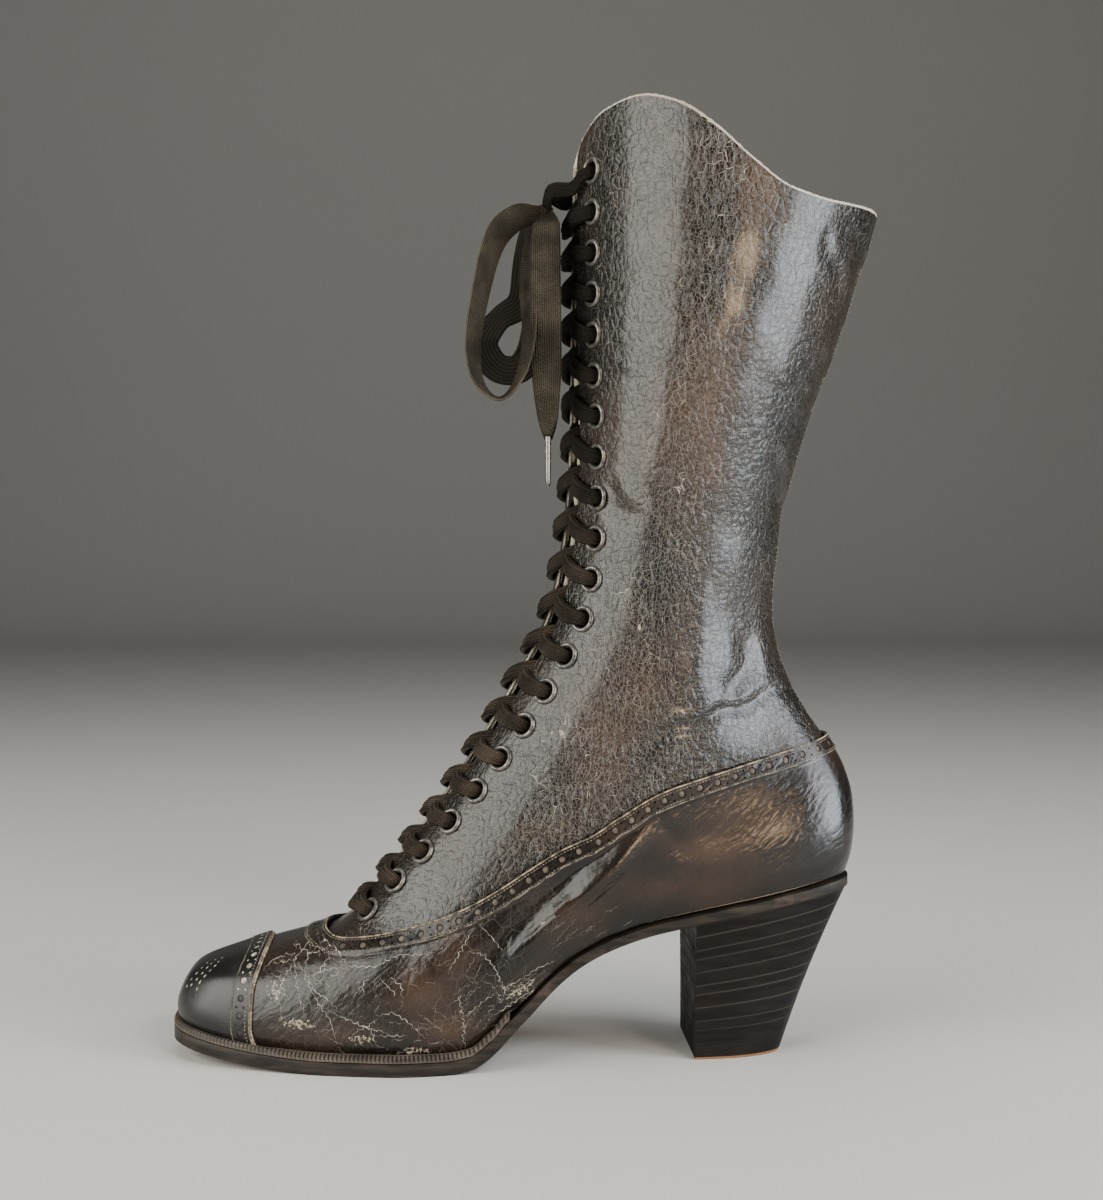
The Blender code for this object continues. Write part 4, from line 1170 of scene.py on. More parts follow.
CRACK_FIELDS = (  # x, z, reach along and up, slope in degrees and its spread, length, how many short cracks
    (-12.0, 27.0, 14.0, 12.0, 48.0, 22.0, 9.0, 30),
    (-78.0, 30.0, 10.0, 14.0, -62.0, 30.0, 8.0, 22),
    (-50.0, 36.0, 24.0, 7.0, 8.0, 30.0, 9.0, 20),
    (-52.0, 16.0, 22.0, 6.0, -20.0, 30.0, 7.0, 16),
    (20.0, 50.0, 16.0, 8.0, 35.0, 12.0, 10.0, 12),
)
chance = random.Random(11)
short_cracks = []
for x, z, reach, rise, slope, turn, length, count in CRACK_FIELDS:
    for _ in range(count):
        angle = math.radians(slope + chance.uniform(-turn, turn))
        half = 0.5 * length * chance.uniform(0.4, 1.3)
        middle_x, middle_z = x + chance.uniform(-reach, reach), z + chance.uniform(-rise, rise)
        run, climb = half * math.cos(angle), half * math.sin(angle)
        short_cracks.append(tuple((middle_x + run * k, middle_z + climb * k) for k in (-1.0, 0.0, 1.0)))
crack_lines = [crack_stations(line, number) for number, line in enumerate(CRACKS + tuple(short_cracks))]
cracks = crack_mesh("vamp_cracks", [stations for stations in crack_lines if len(stations) > 3])
cracks.data.materials.append(raw_edge("opened_glaze", (0.22, 0.195, 0.155, 1.0), (0.62, 0.58, 0.50, 1.0)))
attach(cracks, "root")


# The toe cap. Smooth, hard, highly polished leather over the vamp, its rear edge cut raw and sewn down,
# with a row of large and small punched holes behind a stitch row and a punched fan on the toe.
CAP_SEAM = ((VAMP_LOWEST_LEVEL, -95.5), (1.0, -97.0), (2.0, -96.4), (3.5, -91.5))  # level, x
CAP_HEIGHT = CLEARANCE + VAMP_THICKNESS + SEAT_CLEARANCE
CAP_THICKNESS = 0.8
CAP_COLUMNS = 72
CAP_ROWS = 26
CAP_CORNER = 1.5  # how fast the seam drops from its crest to its two corners
BAND_WIDTH = 7.0
BAND_RAISE = 0.3
BAND_PITCH = 6.0
BAND_HOLE = 1.28
BAND_PRICK = 0.52
BAND_PRICK_APART = 1.5
FAN_ROWS = (  # forward and up, in millimetres, of the fan's holes on the near side, row by row
    ((-107.8, 38.4), (-109.0, 37.0), (-110.2, 35.6), (-112.0, 33.9),
     (-113.8, 32.0), (-115.6, 29.8), (-116.7, 27.4), (-117.7, 24.8)),
    ((-110.0, 37.8), (-111.5, 36.4), (-113.0, 35.0), (-114.7, 33.0),
     (-116.7, 30.8), (-118.6, 28.8), (-119.8, 26.6)),
    ((-113.0, 36.7), (-114.9, 34.9), (-116.7, 33.0), (-118.6, 30.9), (-120.2, 28.4)),
)
FAN_PLANE = -20.0  # how far to the near side the chart of the fan lies, as the camera sees it
FAN_HOLE = (0.82, 0.50)  # along and across its row
FAN_APART = 1.85
BAND_EDGE = 0.4
CAP_SEAM_STEPS = 240
CAP_SEAM_END = 0.03  # the share of the seam that is left plain at each corner
CAP_MIDDLE_AT = (-112.0, 22.0)  # forward and up, where the cap's middle is measured
ABOVE_CAP = 90.0


@lru_cache(maxsize=None)
def cap_top_level():
    """The level whose front lies at the cap's seam."""
    low, high = 1.0, float(THROAT_LEVEL)
    for _ in range(40):
        middle = (low + high) / 2
        if upper_point(middle, 0.0).x < smooth(CAP_SEAM, middle):
            low = middle
        else:
            high = middle
    return low


def cap_edge_angle(t):
    """The angle at which level t meets the cap's seam."""
    row = level(t)
    share = (smooth(CAP_SEAM, t) - row["front_x"]) / (row["back_x"] - row["front_x"])
    return math.acos(1 - 2 * min(1.0, max(0.0, share)))


def place_cap(across, up):
    """Up is 0 at the sole and 1 at the seam, across is 0 at the inner corner and 1 at the outer one."""
    turn = 2 * across - 1
    seam_level = mix(cap_top_level(), VAMP_LOWEST_LEVEL, abs(turn) ** CAP_CORNER)
    seam_angle = math.copysign(cap_edge_angle(seam_level), turn)
    t = mix(VAMP_LOWEST_LEVEL, seam_level, up)
    angle = mix(turn * cap_edge_angle(VAMP_LOWEST_LEVEL), seam_angle, up)
    return upper_point(t, angle) + upper_normal(t, angle) * CAP_HEIGHT


cap = leather_grid("toe_cap_leather", CAP_COLUMNS, CAP_ROWS, place_cap)
work(cap, "SUBSURF", levels=1, render_levels=1)
cap_steps = [k / CAP_SEAM_STEPS for k in range(CAP_SEAM_STEPS + 1)]
whole_seam = np.array([tuple(place_cap(step, 1.0)) for step in cap_steps])
cap_points = points_of(cap) / MM
from_seam = np.array([np.linalg.norm(whole_seam - point, axis=1).min() for point in cap_points])
band = BAND_RAISE * (1 - fade(BAND_WIDTH - BAND_EDGE, BAND_WIDTH + BAND_EDGE, from_seam))
move_points(cap, (cap_points + points_of(cap, "normal") * band[:, None]) * MM)
for _ in range(2):
    cap.data.materials.append(None)
work(cap, "SOLIDIFY", thickness=CAP_THICKNESS * MM, offset=1.0, material_offset_rim=1)
cap_skin = skin_of(cap)
cap_shares = [mix(CAP_SEAM_END, 1 - CAP_SEAM_END, step) for step in cap_steps]
cap_line = [place_cap(share, 1.0) for share in cap_shares]
cap_inward = [place_cap(share, 0.9) - place_cap(share, 1.0) for share in cap_shares]


def cap_spots(pitch, depth, *ends):
    """Spots along the cap's seam, that depth inside it, all along it or between those ends."""
    return seam_spots(cap_line, cap_inward, cap_skin, pitch, lambda share: depth, *ends)


def drop_on_cap(x, y):
    """The spot of the cap's face under that place, seen from above."""
    return cap_skin.ray_cast(Vector((x, y, ABOVE_CAP)), Vector((0.0, 0.0, -1.0)))[:2]


cap_x, cap_z = CAP_MIDDLE_AT
near_side = cap_skin.ray_cast(Vector((cap_x, -BESIDE_BOOT, cap_z)), Vector((0.0, 1.0, 0.0)))[0]
far_side = cap_skin.ray_cast(Vector((cap_x, BESIDE_BOOT, cap_z)), Vector((0.0, -1.0, 0.0)))[0]
CAP_MIDDLE = 0.5 * (near_side.y + far_side.y)
cap_dust = raw_edge("dust_in_cap_holes", (0.24, 0.20, 0.15, 1.0), (0.56, 0.51, 0.41, 1.0))
fan_spots = []
eye = camera.location / MM
for row in FAN_ROWS:
    near_row = []
    for x, z in row:
        point = cap_skin.ray_cast(eye, (Vector((x, FAN_PLANE, z)) - eye).normalized())[0]
        if point is not None:
            near_row.append(point)
    far_row = []
    for spot in near_row:
        point, normal = drop_on_cap(spot.x, 2 * CAP_MIDDLE - spot.y)
        if point is not None:
            far_row.append(point)
    for line in (near_row, far_row):
        for k, spot in enumerate(line):
            along = line[min(len(line) - 1, k + 1)] - line[max(0, k - 1)]
            point, normal, _, _ = cap_skin.find_nearest(spot)
            if all((point - other[0]).length > FAN_APART for other in fan_spots):
                fan_spots.append((point, normal, (along - normal * along.dot(normal)).normalized()))
band_spots = cap_spots(BAND_PITCH, 0.5 * BAND_WIDTH)
pair_spots = []
for row in (-BAND_PRICK_APART, BAND_PRICK_APART):
    pair_spots += cap_spots(BAND_PITCH, 0.5 * BAND_WIDTH + row, 0.5 * BAND_PITCH,
                            edge_run(cap_line)[-1] - 0.5 * BAND_PITCH)
DUST_LOWEST = 25.0
CAP_DUST_SHARE = 0.97  # of the hole's size
CAP_DUST_HEIGHT = 0.25
CAP_DUST_SINK = 0.04
# Holes below DUST_LOWEST get a near-black fill instead of pale dust: the cap's holes are darker towards the
# bottom.
near_black_hole_fill = raw_edge("near_black_hole_fill", (0.012, 0.010, 0.008, 1.0), (0.040, 0.032, 0.026, 1.0))
for name, spots, size in (
    ("cap_hole_fill_large", band_spots, (BAND_HOLE, BAND_HOLE)),
    ("cap_hole_fill_small", pair_spots, (BAND_PRICK, BAND_PRICK)),
    ("cap_hole_fill_fan", fan_spots, FAN_HOLE),
):
    punch(cap, [stand_at(*spot, (*size, PUNCH_DEPTH)) for spot in spots])
    mound_size = (CAP_DUST_SHARE * size[0], CAP_DUST_SHARE * size[1], CAP_DUST_HEIGHT)
    high_spots = [spot for spot in spots if spot[0].z > DUST_LOWEST]
    dust_in(name, high_spots, mound_size, CAP_DUST_SINK).data.materials.append(cap_dust)
    low_spots = [spot for spot in spots if spot[0].z <= DUST_LOWEST]
    dust_in(f"{name}_low", low_spots, mound_size, CAP_DUST_SINK).data.materials.append(near_black_hole_fill)

BAND_FRONT = BAND_WIDTH + 0.2
CAP_REAR_STITCH_AT = 1.3
sew("cap_stitches_front", cap_spots(STITCH_PITCH, BAND_FRONT), STITCH_SIZE, seam_thread)
sew("cap_stitches_rear", cap_spots(STITCH_PITCH, CAP_REAR_STITCH_AT), STITCH_SIZE, seam_thread)


def polished_leather(name, colour, dust, rough):
    """Smooth glazed leather with a deep polish, dusty in soft patches and faintly scratched."""
    material, tree, shader, place = new_material(name)
    cloud = noise(tree, place, 60.0, 5.0, Roughness=0.65)
    film = spread(tree, cloud, 0.45, 0.75, 0.0, 0.5)
    fine = noise(tree, place, 900.0, 2.0)
    feed(tree, shader, Base_Color=blend_colours(tree, film, colour, dust),
         Roughness=spread(tree, cloud, 0.35, 0.75, rough, rough + 0.16),
         Normal=relief_of(tree, fine, 0.6, 0.00004), Specular_IOR_Level=0.40, Coat_Weight=0.14,
         Coat_Roughness=0.30)
    return material


CAP_BLACK = (0.007, 0.007, 0.007, 1.0)
CAP_FILM = (0.04, 0.036, 0.033, 1.0)
cap.data.materials[0] = polished_leather("polished_cap", CAP_BLACK, CAP_FILM, 0.27)
cap.data.materials[1] = raw_edge("cut_cap_edge", (0.40, 0.32, 0.22, 1.0), (0.12, 0.095, 0.065, 1.0))
band_line = [point for point, _, _ in cap_spots(0.8, BAND_FRONT)]
band_ridge = roll_along("band_front_edge", band_line, 0.24, 0.1)
rubbed_band = raw_edge("rubbed_band_edge", (0.024, 0.021, 0.017, 1.0), (0.13, 0.115, 0.092, 1.0))
band_ridge.data.materials.append(rubbed_band)
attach(band_ridge, "root")
cap_roll = roll_along("toe_cap_cut_edge", [
    Vector(point) + Vector((0.25, 0.0, 0.0)) for point in whole_seam], 0.45, 0.22)
cap_roll.data.materials.append(cap.data.materials[1])
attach(cap_roll, "root")
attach(cap, "root")
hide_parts("toe_cap")


# The tongue. A soft tongue of the same kid, lined with cotton, behind the whole length of the lacing.
TONGUE_LEVELS = (4.12, 12.0)
TONGUE_HALF_WIDTH = 25.0
TONGUE_THICKNESS = 1.6
TONGUE_COLUMNS = 22
TONGUE_ROWS = 80
TONGUE_RIPPLE = 0.35
LACE_ROOM = 1.4  # between the facings and the tongue, for the lace
TONGUE_DEPTH = WALL + SEAT_CLEARANCE + LACE_ROOM


def place_tongue(across, up):
    t = mix(*TONGUE_LEVELS, up)
    angle = mix(throat_angle(t, -TONGUE_HALF_WIDTH), throat_angle(t, TONGUE_HALF_WIDTH), across)
    return upper_point(t, angle) - upper_normal(t, angle) * TONGUE_DEPTH


tongue = leather_grid("tongue_leather", TONGUE_COLUMNS, TONGUE_ROWS, place_tongue)
tongue_points = points_of(tongue) / MM
ripple = TONGUE_RIPPLE * np.sin(tongue_points[:, 2] * 0.24) * np.sin(tongue_points[:, 1] * 0.2 + 1.0)
tongue_sunk = points_of(tongue, "normal") * (TONGUE_RIPPLE + ripple)[:, None]
move_points(tongue, (tongue_points - tongue_sunk) * MM)
tongue_kid = kid_leather("tongue_kid", KID_BLACK, CRACK_PALE_AND_GLINT, cells=260.0, line=0.04, craze=0.3, rough=0.4,
                         coat=0.1, relief=0.12)
for material in (tongue_kid, lining_cotton, facing_edge):
    tongue.data.materials.append(material)
work(tongue, "SOLIDIFY", thickness=TONGUE_THICKNESS * MM, offset=-1.0, material_offset=1,
     material_offset_rim=2)
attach(tongue, "root")
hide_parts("tongue")


# The sole. A leather insole inside the upper, a hand-worn leather outsole below it that climbs the waist to
# the heel's seat, and a stitched welt round the forepart with wheel marks pressed along its edge.
INSOLE_INSET = WALL + 2 * CLEARANCE
INSOLE_THICKNESS = 2.4
SOLE_MARGIN = ((0.0, 6.0), (0.3, 6.2), (0.45, 5.2), (0.58, 3.0), (1.0, 2.8))  # share of the length, margin
WELT_INNER_MARGIN = ((-130.0, 4.2), (-94.0, 4.2), (-84.0, 3.0), (0.0, 3.0))  # x, margin
WELT_THICKNESS = 2.3
WELT_REACH = math.radians(88)
WHEEL_PITCH = 1.5
WHEEL_DEPTH = 0.40
WELT_CHAMFER = 1.0


def feather_edge(angle, margin):
    """A point in plan, margin millimetres outside the upper's lower edge."""
    step = 0.004
    here = upper_point(0.0, angle)
    along = upper_point(0.0, angle + step) - upper_point(0.0, angle - step)
    outward = Vector((along.y, -along.x)).normalized()
    return Vector((here.x, here.y)) + outward * margin


def sole_edge(angle):
    return feather_edge(angle, smooth(SOLE_MARGIN, (1 - math.cos(angle)) / 2))


def insole_edge(angle):
    return feather_edge(angle, -INSOLE_INSET)


def sole_layer(name, columns, rows, place, high, marks=None):
    """A closed layer on the grid place(across, up), with its top at the height high(x)."""
    piece = leather_grid(name, columns, rows, place, marks)
    bpy.ops.object.mode_set(mode="EDIT")
    bpy.ops.mesh.select_all(action="SELECT")
    bpy.ops.mesh.extrude_region_move()
    bpy.ops.object.mode_set(mode="OBJECT")
    for vertex in piece.data.vertices:
        if vertex.select:
            vertex.co.z = high(vertex.co.x / MM) * MM
    face_outwards()
    return piece


def round_edges(piece, width):
    """Rounds the piece's sharp edges by that width."""
    work(piece, "BEVEL", width=width * MM, segments=2, limit_method="ANGLE", angle_limit=math.radians(50))


def across_sole(edge, low):
    """A grid's places within edge(angle), from the toe to the heel and from the outer side to the inner."""

    def place(across, up):
        angle = math.pi * across
        outer, inner = edge(angle), edge(-angle)
        if across in (0.0, 1.0):
            inner = outer
        point = outer.lerp(inner, up)
        return Vector((*point, low(point.x)))

    return place


def insole_top(x):
    return feather_height(x) + INSOLE_THICKNESS * steepness(x)


insole = sole_layer("insole_leather", 80, 8, across_sole(insole_edge, feather_height), insole_top)
round_edges(insole, 0.5)
insole.data.materials.append(lining_cotton)
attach(insole, "root")
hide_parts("insole")


def sole_leather(name, colour, worn, lighter):
    """Dark sole leather, scuffed paler and redder in patches."""
    material, tree, shader, place = new_material(name)
    layers = node(tree, "ShaderNodeMapping", Vector=place, Scale=(60.0, 60.0, 420.0))
    fibre = noise(tree, layers.outputs[0], 1.0, 5.0, Roughness=0.6)
    patch = noise(tree, place, 55.0, 4.0, Roughness=0.7)
    base = blend_colours(tree, spread(tree, fibre, 0.35, 0.7, 0.0, 1.0), colour, worn)
    scuff = spread(tree, patch, 0.56, 0.72, 0.0, 0.8)
    feed(tree, shader, Base_Color=blend_colours(tree, scuff, base, lighter),
         Roughness=spread(tree, patch, 0.35, 0.7, 0.42, 0.72), Normal=relief_of(tree, fibre, 0.7, 0.00018),
         Specular_IOR_Level=0.25)
    return material


def tint_where(material, name, colour):
    """Brings the material's colour to that one where the point value of that name is 1."""
    tree = material.node_tree
    paint = tree.nodes["Principled BSDF"].inputs["Base Color"]
    tinted = blend_colours(tree, point_value(tree, name), paint.links[0].from_socket, colour)
    tree.links.new(tinted, paint)


outsole = sole_layer("outsole_leather", 140, 10, across_sole(sole_edge, tread), outsole_top)
round_edges(outsole, 0.6)
outsole.data.materials.append(sole_leather(
    "worn_outsole", (0.007, 0.006, 0.005, 1.0), (0.034, 0.027, 0.021, 1.0), (0.075, 0.052, 0.037, 1.0)))
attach(outsole, "root")
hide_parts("outsole")


EVEN_STEPS = 600


def even_angles(edge, start, end, count):
    """Angles from start to end whose points on edge(angle) lie evenly apart, and the edge's length there."""
    samples = [mix(start, end, k / EVEN_STEPS) for k in range(EVEN_STEPS + 1)]
    travelled = edge_run([edge(angle) for angle in samples])
    return np.interp(np.linspace(0.0, travelled[-1], count + 1), travelled, samples), travelled[-1]


_, welt_length = even_angles(sole_edge, -WELT_REACH, WELT_REACH, 1)
WELT_COLUMNS = 2 * round(welt_length / WHEEL_PITCH)
welt_angles, _ = even_angles(sole_edge, -WELT_REACH, WELT_REACH, WELT_COLUMNS)


def place_welt(across, up):
    angle = float(welt_angles[round(across * WELT_COLUMNS)])
    outer = sole_edge(angle)
    inner = feather_edge(angle, smooth(WELT_INNER_MARGIN, outer.x))
    point = inner.lerp(outer, up)
    return Vector((*point, outsole_top(point.x) + CLEARANCE * steepness(point.x)))


def welt_top(x):
    return outsole_top(x) + (CLEARANCE + WELT_THICKNESS) * steepness(x)


welt = sole_layer("welt_leather", WELT_COLUMNS, 3, place_welt, welt_top, {
    "wheel": lambda across, up: round(across * WELT_COLUMNS) % 2 * float(up > 0.3),
    "rim": lambda across, up: float(up > 0.9),
})
rim_mark = marked(welt, "rim")
wheel = marked(welt, "wheel")
welt_points = points_of(welt) / MM
half_up = CLEARANCE + 0.5 * WELT_THICKNESS
welt_middle = np.array([outsole_top(x) + half_up * steepness(x) for x in welt_points[:, 0]])
on_top = welt_points[:, 2] > welt_middle
welt_points[:, 2] -= (WHEEL_DEPTH * wheel + WELT_CHAMFER * rim_mark) * on_top
move_points(welt, welt_points * MM)
# Painted shade: the hollows of the wheel marks on the welt's top are tinted near-black, darker than the ribs
# between them.
mark(welt, "wheel_hollow_shade", wheel * on_top)
bpy.ops.object.shade_smooth_by_angle(angle=math.radians(45))
welt_hide = sole_leather("wheeled_welt", (0.060, 0.048, 0.038, 1.0), (0.13, 0.105, 0.080, 1.0),
                         (0.22, 0.180, 0.138, 1.0))
tint_where(welt_hide, "wheel_hollow_shade", (0.004, 0.003, 0.003, 1.0))
welt.data.materials.append(welt_hide)
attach(welt, "root")
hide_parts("welt")


# The heel. A stack of leather lifts pegged together and trimmed to one shape, blackened, with dust in the
# lines between the lifts, standing on a thin leather top piece whose lower edge has worn back to brown.
HEEL_BREAST_X = 60.0
HEEL_LIFTS = 10
HEEL_GROOVE = 0.35
HEEL_SEAM_SHARE = 0.008  # height of a groove, as a share of the heel's height
HEEL_BOTTOM_LENGTH_SHARE = 0.58  # of the seat's length
HEEL_BOTTOM_WIDTH_SHARE = 0.88  # of the seat's width
HEEL_SEAT_INSET = 0.8
HEEL_HOLLOW = 0.02
HEEL_MIDDLE = 26.0
HEEL_BACK_COLUMNS = 72
HEEL_BREAST_COLUMNS = 16
TOP_PIECE_SHARE = 0.11
TOP_PIECE_CHAMFER = 0.3

first_level = level(0)
breast_share = (HEEL_BREAST_X - first_level["front_x"]) / (first_level["back_x"] - first_level["front_x"])
breast_angle = math.acos(1 - 2 * breast_share)
heel_margin = smooth(SOLE_MARGIN, 1.0) - HEEL_SEAT_INSET
seat_line = [
    feather_edge(mix(breast_angle, 2 * math.pi - breast_angle, k / HEEL_BACK_COLUMNS), heel_margin)
    for k in range(HEEL_BACK_COLUMNS + 1)
]
for corner in (seat_line[0], seat_line[-1]):
    corner.x = HEEL_BREAST_X
seat_line += [
    seat_line[-1].lerp(seat_line[0], (k + 1) / HEEL_BREAST_COLUMNS) for k in range(HEEL_BREAST_COLUMNS)
]


def heel_point(seat, share, inset):
    """A point of the heel's side: seat is its place in the seat's outline, share its height."""
    bow = math.sin(math.pi * share)
    length = mix(HEEL_BOTTOM_LENGTH_SHARE, 1.0, share) - HEEL_HOLLOW * bow
    width = mix(HEEL_BOTTOM_WIDTH_SHARE, 1.0, share) - HEEL_HOLLOW * bow
    shrink = 1 - inset / HEEL_MIDDLE
    run = (seat.x - HEEL_BREAST_X) * length
    x = HEEL_BREAST_X + HEEL_MIDDLE * length + (run - HEEL_MIDDLE * length) * shrink
    return Vector((x, seat.y * width * shrink, share * (tread(seat.x) - CLEARANCE)))


def mottled(name, scale, detail, tones, rough, **settings):
    """A plain material that runs softly between two tones, and between two roughnesses with them."""
    material, tree, shader, place = new_material(name)
    cloud = noise(tree, place, scale, detail)
    feed(tree, shader, Base_Color=blend_colours(tree, cloud, *tones),
         Roughness=spread(tree, cloud, 0.3, 0.7, *rough), **settings)
    return material


# Painted shade: the heel's breast, in shadow under the arch, is coloured near-black, dull and free of dust.
BREAST_SHADE_TONES = ((0.002, 0.002, 0.002, 1.0), (0.008, 0.007, 0.006, 1.0))
breast_painted_shade = mottled("breast_painted_shade", 120.0, 4.0, BREAST_SHADE_TONES, (0.5, 0.75), Specular_IOR_Level=0.12)


def heel_block(name, rings, leather):
    """A closed block through the rings of the heel, each a height share, an inset and a dust mark.

    It wears that leather, with near-black painted shade on its breast, which lies in the arch's shadow.
    """
    columns, rows = len(seat_line) - 1, len(rings) - 1

    def place(across, up):
        share, inset, _ = rings[round(up * rows)]
        return heel_point(seat_line[round(across * columns)], share, inset)

    def dust_mark(across, up):
        # The breast stays in its painted shade, without dust.
        on_breast = HEEL_BACK_COLUMNS < round(across * columns) < columns
        return 0.0 if on_breast else rings[round(up * rows)][2]

    piece = leather_grid(name, columns, rows, place, {"dust": dust_mark})
    face_outwards(fill=True)
    bpy.ops.object.shade_smooth_by_angle(angle=math.radians(38))
    for material in (leather, breast_painted_shade):
        piece.data.materials.append(material)
    # Faces turned to the toe are the breast, and they take its painted shade.
    for face in piece.data.polygons:
        face.material_index = int(face.normal.x < -0.8)
    return piece


def lift_foot(number):
    """Where that lift starts, as a share of the stack: the lifts are not quite of one thickness."""
    uneven = 0.014 * math.sin(2.1 * number) if 0 < number < HEEL_LIFTS else 0.0
    return number / HEEL_LIFTS + uneven


lift_rings = []
for lift in range(HEEL_LIFTS):
    low = mix(TOP_PIECE_SHARE + HEEL_SEAM_SHARE, 1.0, lift_foot(lift))
    high = mix(TOP_PIECE_SHARE + HEEL_SEAM_SHARE, 1.0, lift_foot(lift + 1))
    half_seam = 0.5 * HEEL_SEAM_SHARE
    dust = 0.30 + 0.45 * lift / HEEL_LIFTS + 0.25 * math.sin(2.7 * lift) ** 2
    if lift:
        lift_rings.append((low, HEEL_GROOVE, dust))
    lift_rings.append((low + half_seam if lift else low, 0.0, 0.3 * dust))
    lift_rings.append((low + 2.2 * half_seam, 0.0, 0.0))
    lift_rings.append((high - 2.2 * half_seam, 0.0, 0.0))
    lift_rings.append((high - half_seam if lift < HEEL_LIFTS - 1 else high, 0.0, 0.3 * dust))


def heel_leather(name, colour, worn, dust_colour):
    """Blackened heel leather with its lifts' grain, and the dust that its point value marks."""
    material = sole_leather(name, colour, worn, worn)
    tint_where(material, "dust", dust_colour)
    tree = material.node_tree
    feed(tree, tree.nodes["Principled BSDF"], Specular_IOR_Level=0.14, Coat_Weight=0.03, Coat_Roughness=0.25)
    return material


heel_stack = heel_block("heel_lifts", lift_rings, heel_leather(
    "blackened_lifts", (0.004, 0.0036, 0.003, 1.0), (0.010, 0.008, 0.007, 1.0), (0.10, 0.090, 0.077, 1.0)))
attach(heel_stack, "root")
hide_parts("heel_stack")

TOP_PIECE_RINGS = (
    (0.0, TOP_PIECE_CHAMFER, 0.5),
    (0.012, 0.0, 1.0),
    (0.02, 0.0, 0.0),
    (0.06, 0.0, 0.0),
    (TOP_PIECE_SHARE + 0.9 * HEEL_SEAM_SHARE, 0.0, 0.0),
)
heel_tip = heel_block("heel_top_lift", TOP_PIECE_RINGS, heel_leather(
    "worn_top_lift", (0.005, 0.0045, 0.004, 1.0), (0.012, 0.010, 0.009, 1.0), (0.30, 0.15, 0.07, 1.0)))
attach(heel_tip, "root")
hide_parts("heel_top_piece")


# The eyelets. Rolled metal rims, their black enamel worn to grey, each clenched through its facing by a
# short tube. One is turned and copied to every hole.
EYELET_HALF_SPAN = 13.2
EYELETS_A_SIDE = 21
FIRST_EYELET_LEVEL = 4.36
LAST_EYELET_LEVEL = 11.75
EYELET_HOLE_RADIUS = 3.5
EYELET_SIDES = 24
EYELET_PROFILE = (  # radius, height above the leather
    (3.10, -2.1),
    (3.14, -0.2),
    (3.34, 0.60),
    (3.80, 1.02),
    (4.25, 1.05),
    (4.65, 0.78),
    (4.88, 0.28),
    (4.90, -0.05),
    (4.30, -0.10),
    (3.44, -0.12),
    (3.40, -2.1),
    (3.10, -2.1),
)


EYELET_STEPS = 400


def eyelet_levels():
    """Levels of the eyelets, evenly spaced along the facing from the lowest to the highest."""
    samples = [mix(FIRST_EYELET_LEVEL, LAST_EYELET_LEVEL, k / EYELET_STEPS) for k in range(EYELET_STEPS + 1)]
    travelled = edge_run([upper_point(t, throat_angle(t, EYELET_HALF_SPAN)) for t in samples])
    return [float(t) for t in np.interp(np.linspace(0.0, travelled[-1], EYELETS_A_SIDE), travelled, samples)]


def throat_point(t, offset, height):
    """A point height above the upper, offset from the throat's middle, positive to the outer side."""
    angle = throat_angle(t, offset)
    return upper_point(t, angle) + upper_normal(t, angle) * height


def facing_up(t, offset):
    """The way up the facing at level t."""
    return (throat_point(t + 0.03, offset, 0.0) - throat_point(t - 0.03, offset, 0.0)).normalized()


def place_eyelet(across, up):
    radius, height = EYELET_PROFILE[round(up * (len(EYELET_PROFILE) - 1))]
    turn = -2 * math.pi * across
    return Vector((radius * math.cos(turn), radius * math.sin(turn), height)) / MM


enamel, enamel_tree, enamel_shader, enamel_place = new_material("worn_black_enamel")
enamel_wear = noise(enamel_tree, enamel_place, 420.0, 4.0)
bare = spread(enamel_tree, enamel_wear, 0.40, 0.60, 0.15, 1.0)
enamel_paint = blend_colours(enamel_tree, bare, (0.020, 0.019, 0.017, 1.0), (0.22, 0.205, 0.18, 1.0))
feed(enamel_tree, enamel_shader, Base_Color=enamel_paint, Metallic=bare,
     Roughness=spread(enamel_tree, enamel_wear, 0.35, 0.6, 0.28, 0.42))

rim = leather_grid("eyelet_pattern", EYELET_SIDES, len(EYELET_PROFILE) - 1, place_eyelet)
EYELET_LEVELS = eyelet_levels()
eyelet_places = {}
for side, facing in ((1, "outer"), (-1, "inner")):
    for number, t in enumerate(EYELET_LEVELS, 1):
        angle = throat_angle(t, side * EYELET_HALF_SPAN)
        normal = upper_normal(t, angle)
        up_facing = facing_up(t, side * EYELET_HALF_SPAN)
        up_facing = (up_facing - normal * up_facing.dot(normal)).normalized()
        eyelet_places[facing, number] = stand_at(upper_point(t, angle) + normal * 0.05, normal, up_facing)
punch(upper, [place @ Matrix.Diagonal((EYELET_HOLE_RADIUS, EYELET_HOLE_RADIUS, 4 * WALL, 1.0))
              for place in eyelet_places.values()])
for (facing, number), place in eyelet_places.items():
    eyelet = copies(f"rim_{facing}_{number:02d}", rim, [place])
    eyelet.data.materials.append(enamel)
    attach(eyelet, "root")
    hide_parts(f"eyelet_{facing}_{number:02d}")
bpy.data.objects.remove(rim)


# The lace. One flat tube-woven cotton lace, faded brown-black, bunched where it comes up through an eyelet
# and spread where it crosses the throat, from a bar at the lowest pair up to the knot of the bow.
LACE_THICKNESS = 1.3
PROFILE_POINTS = 28
KNOT_CENTRE = Vector((6.2, -1.5, 301.0))


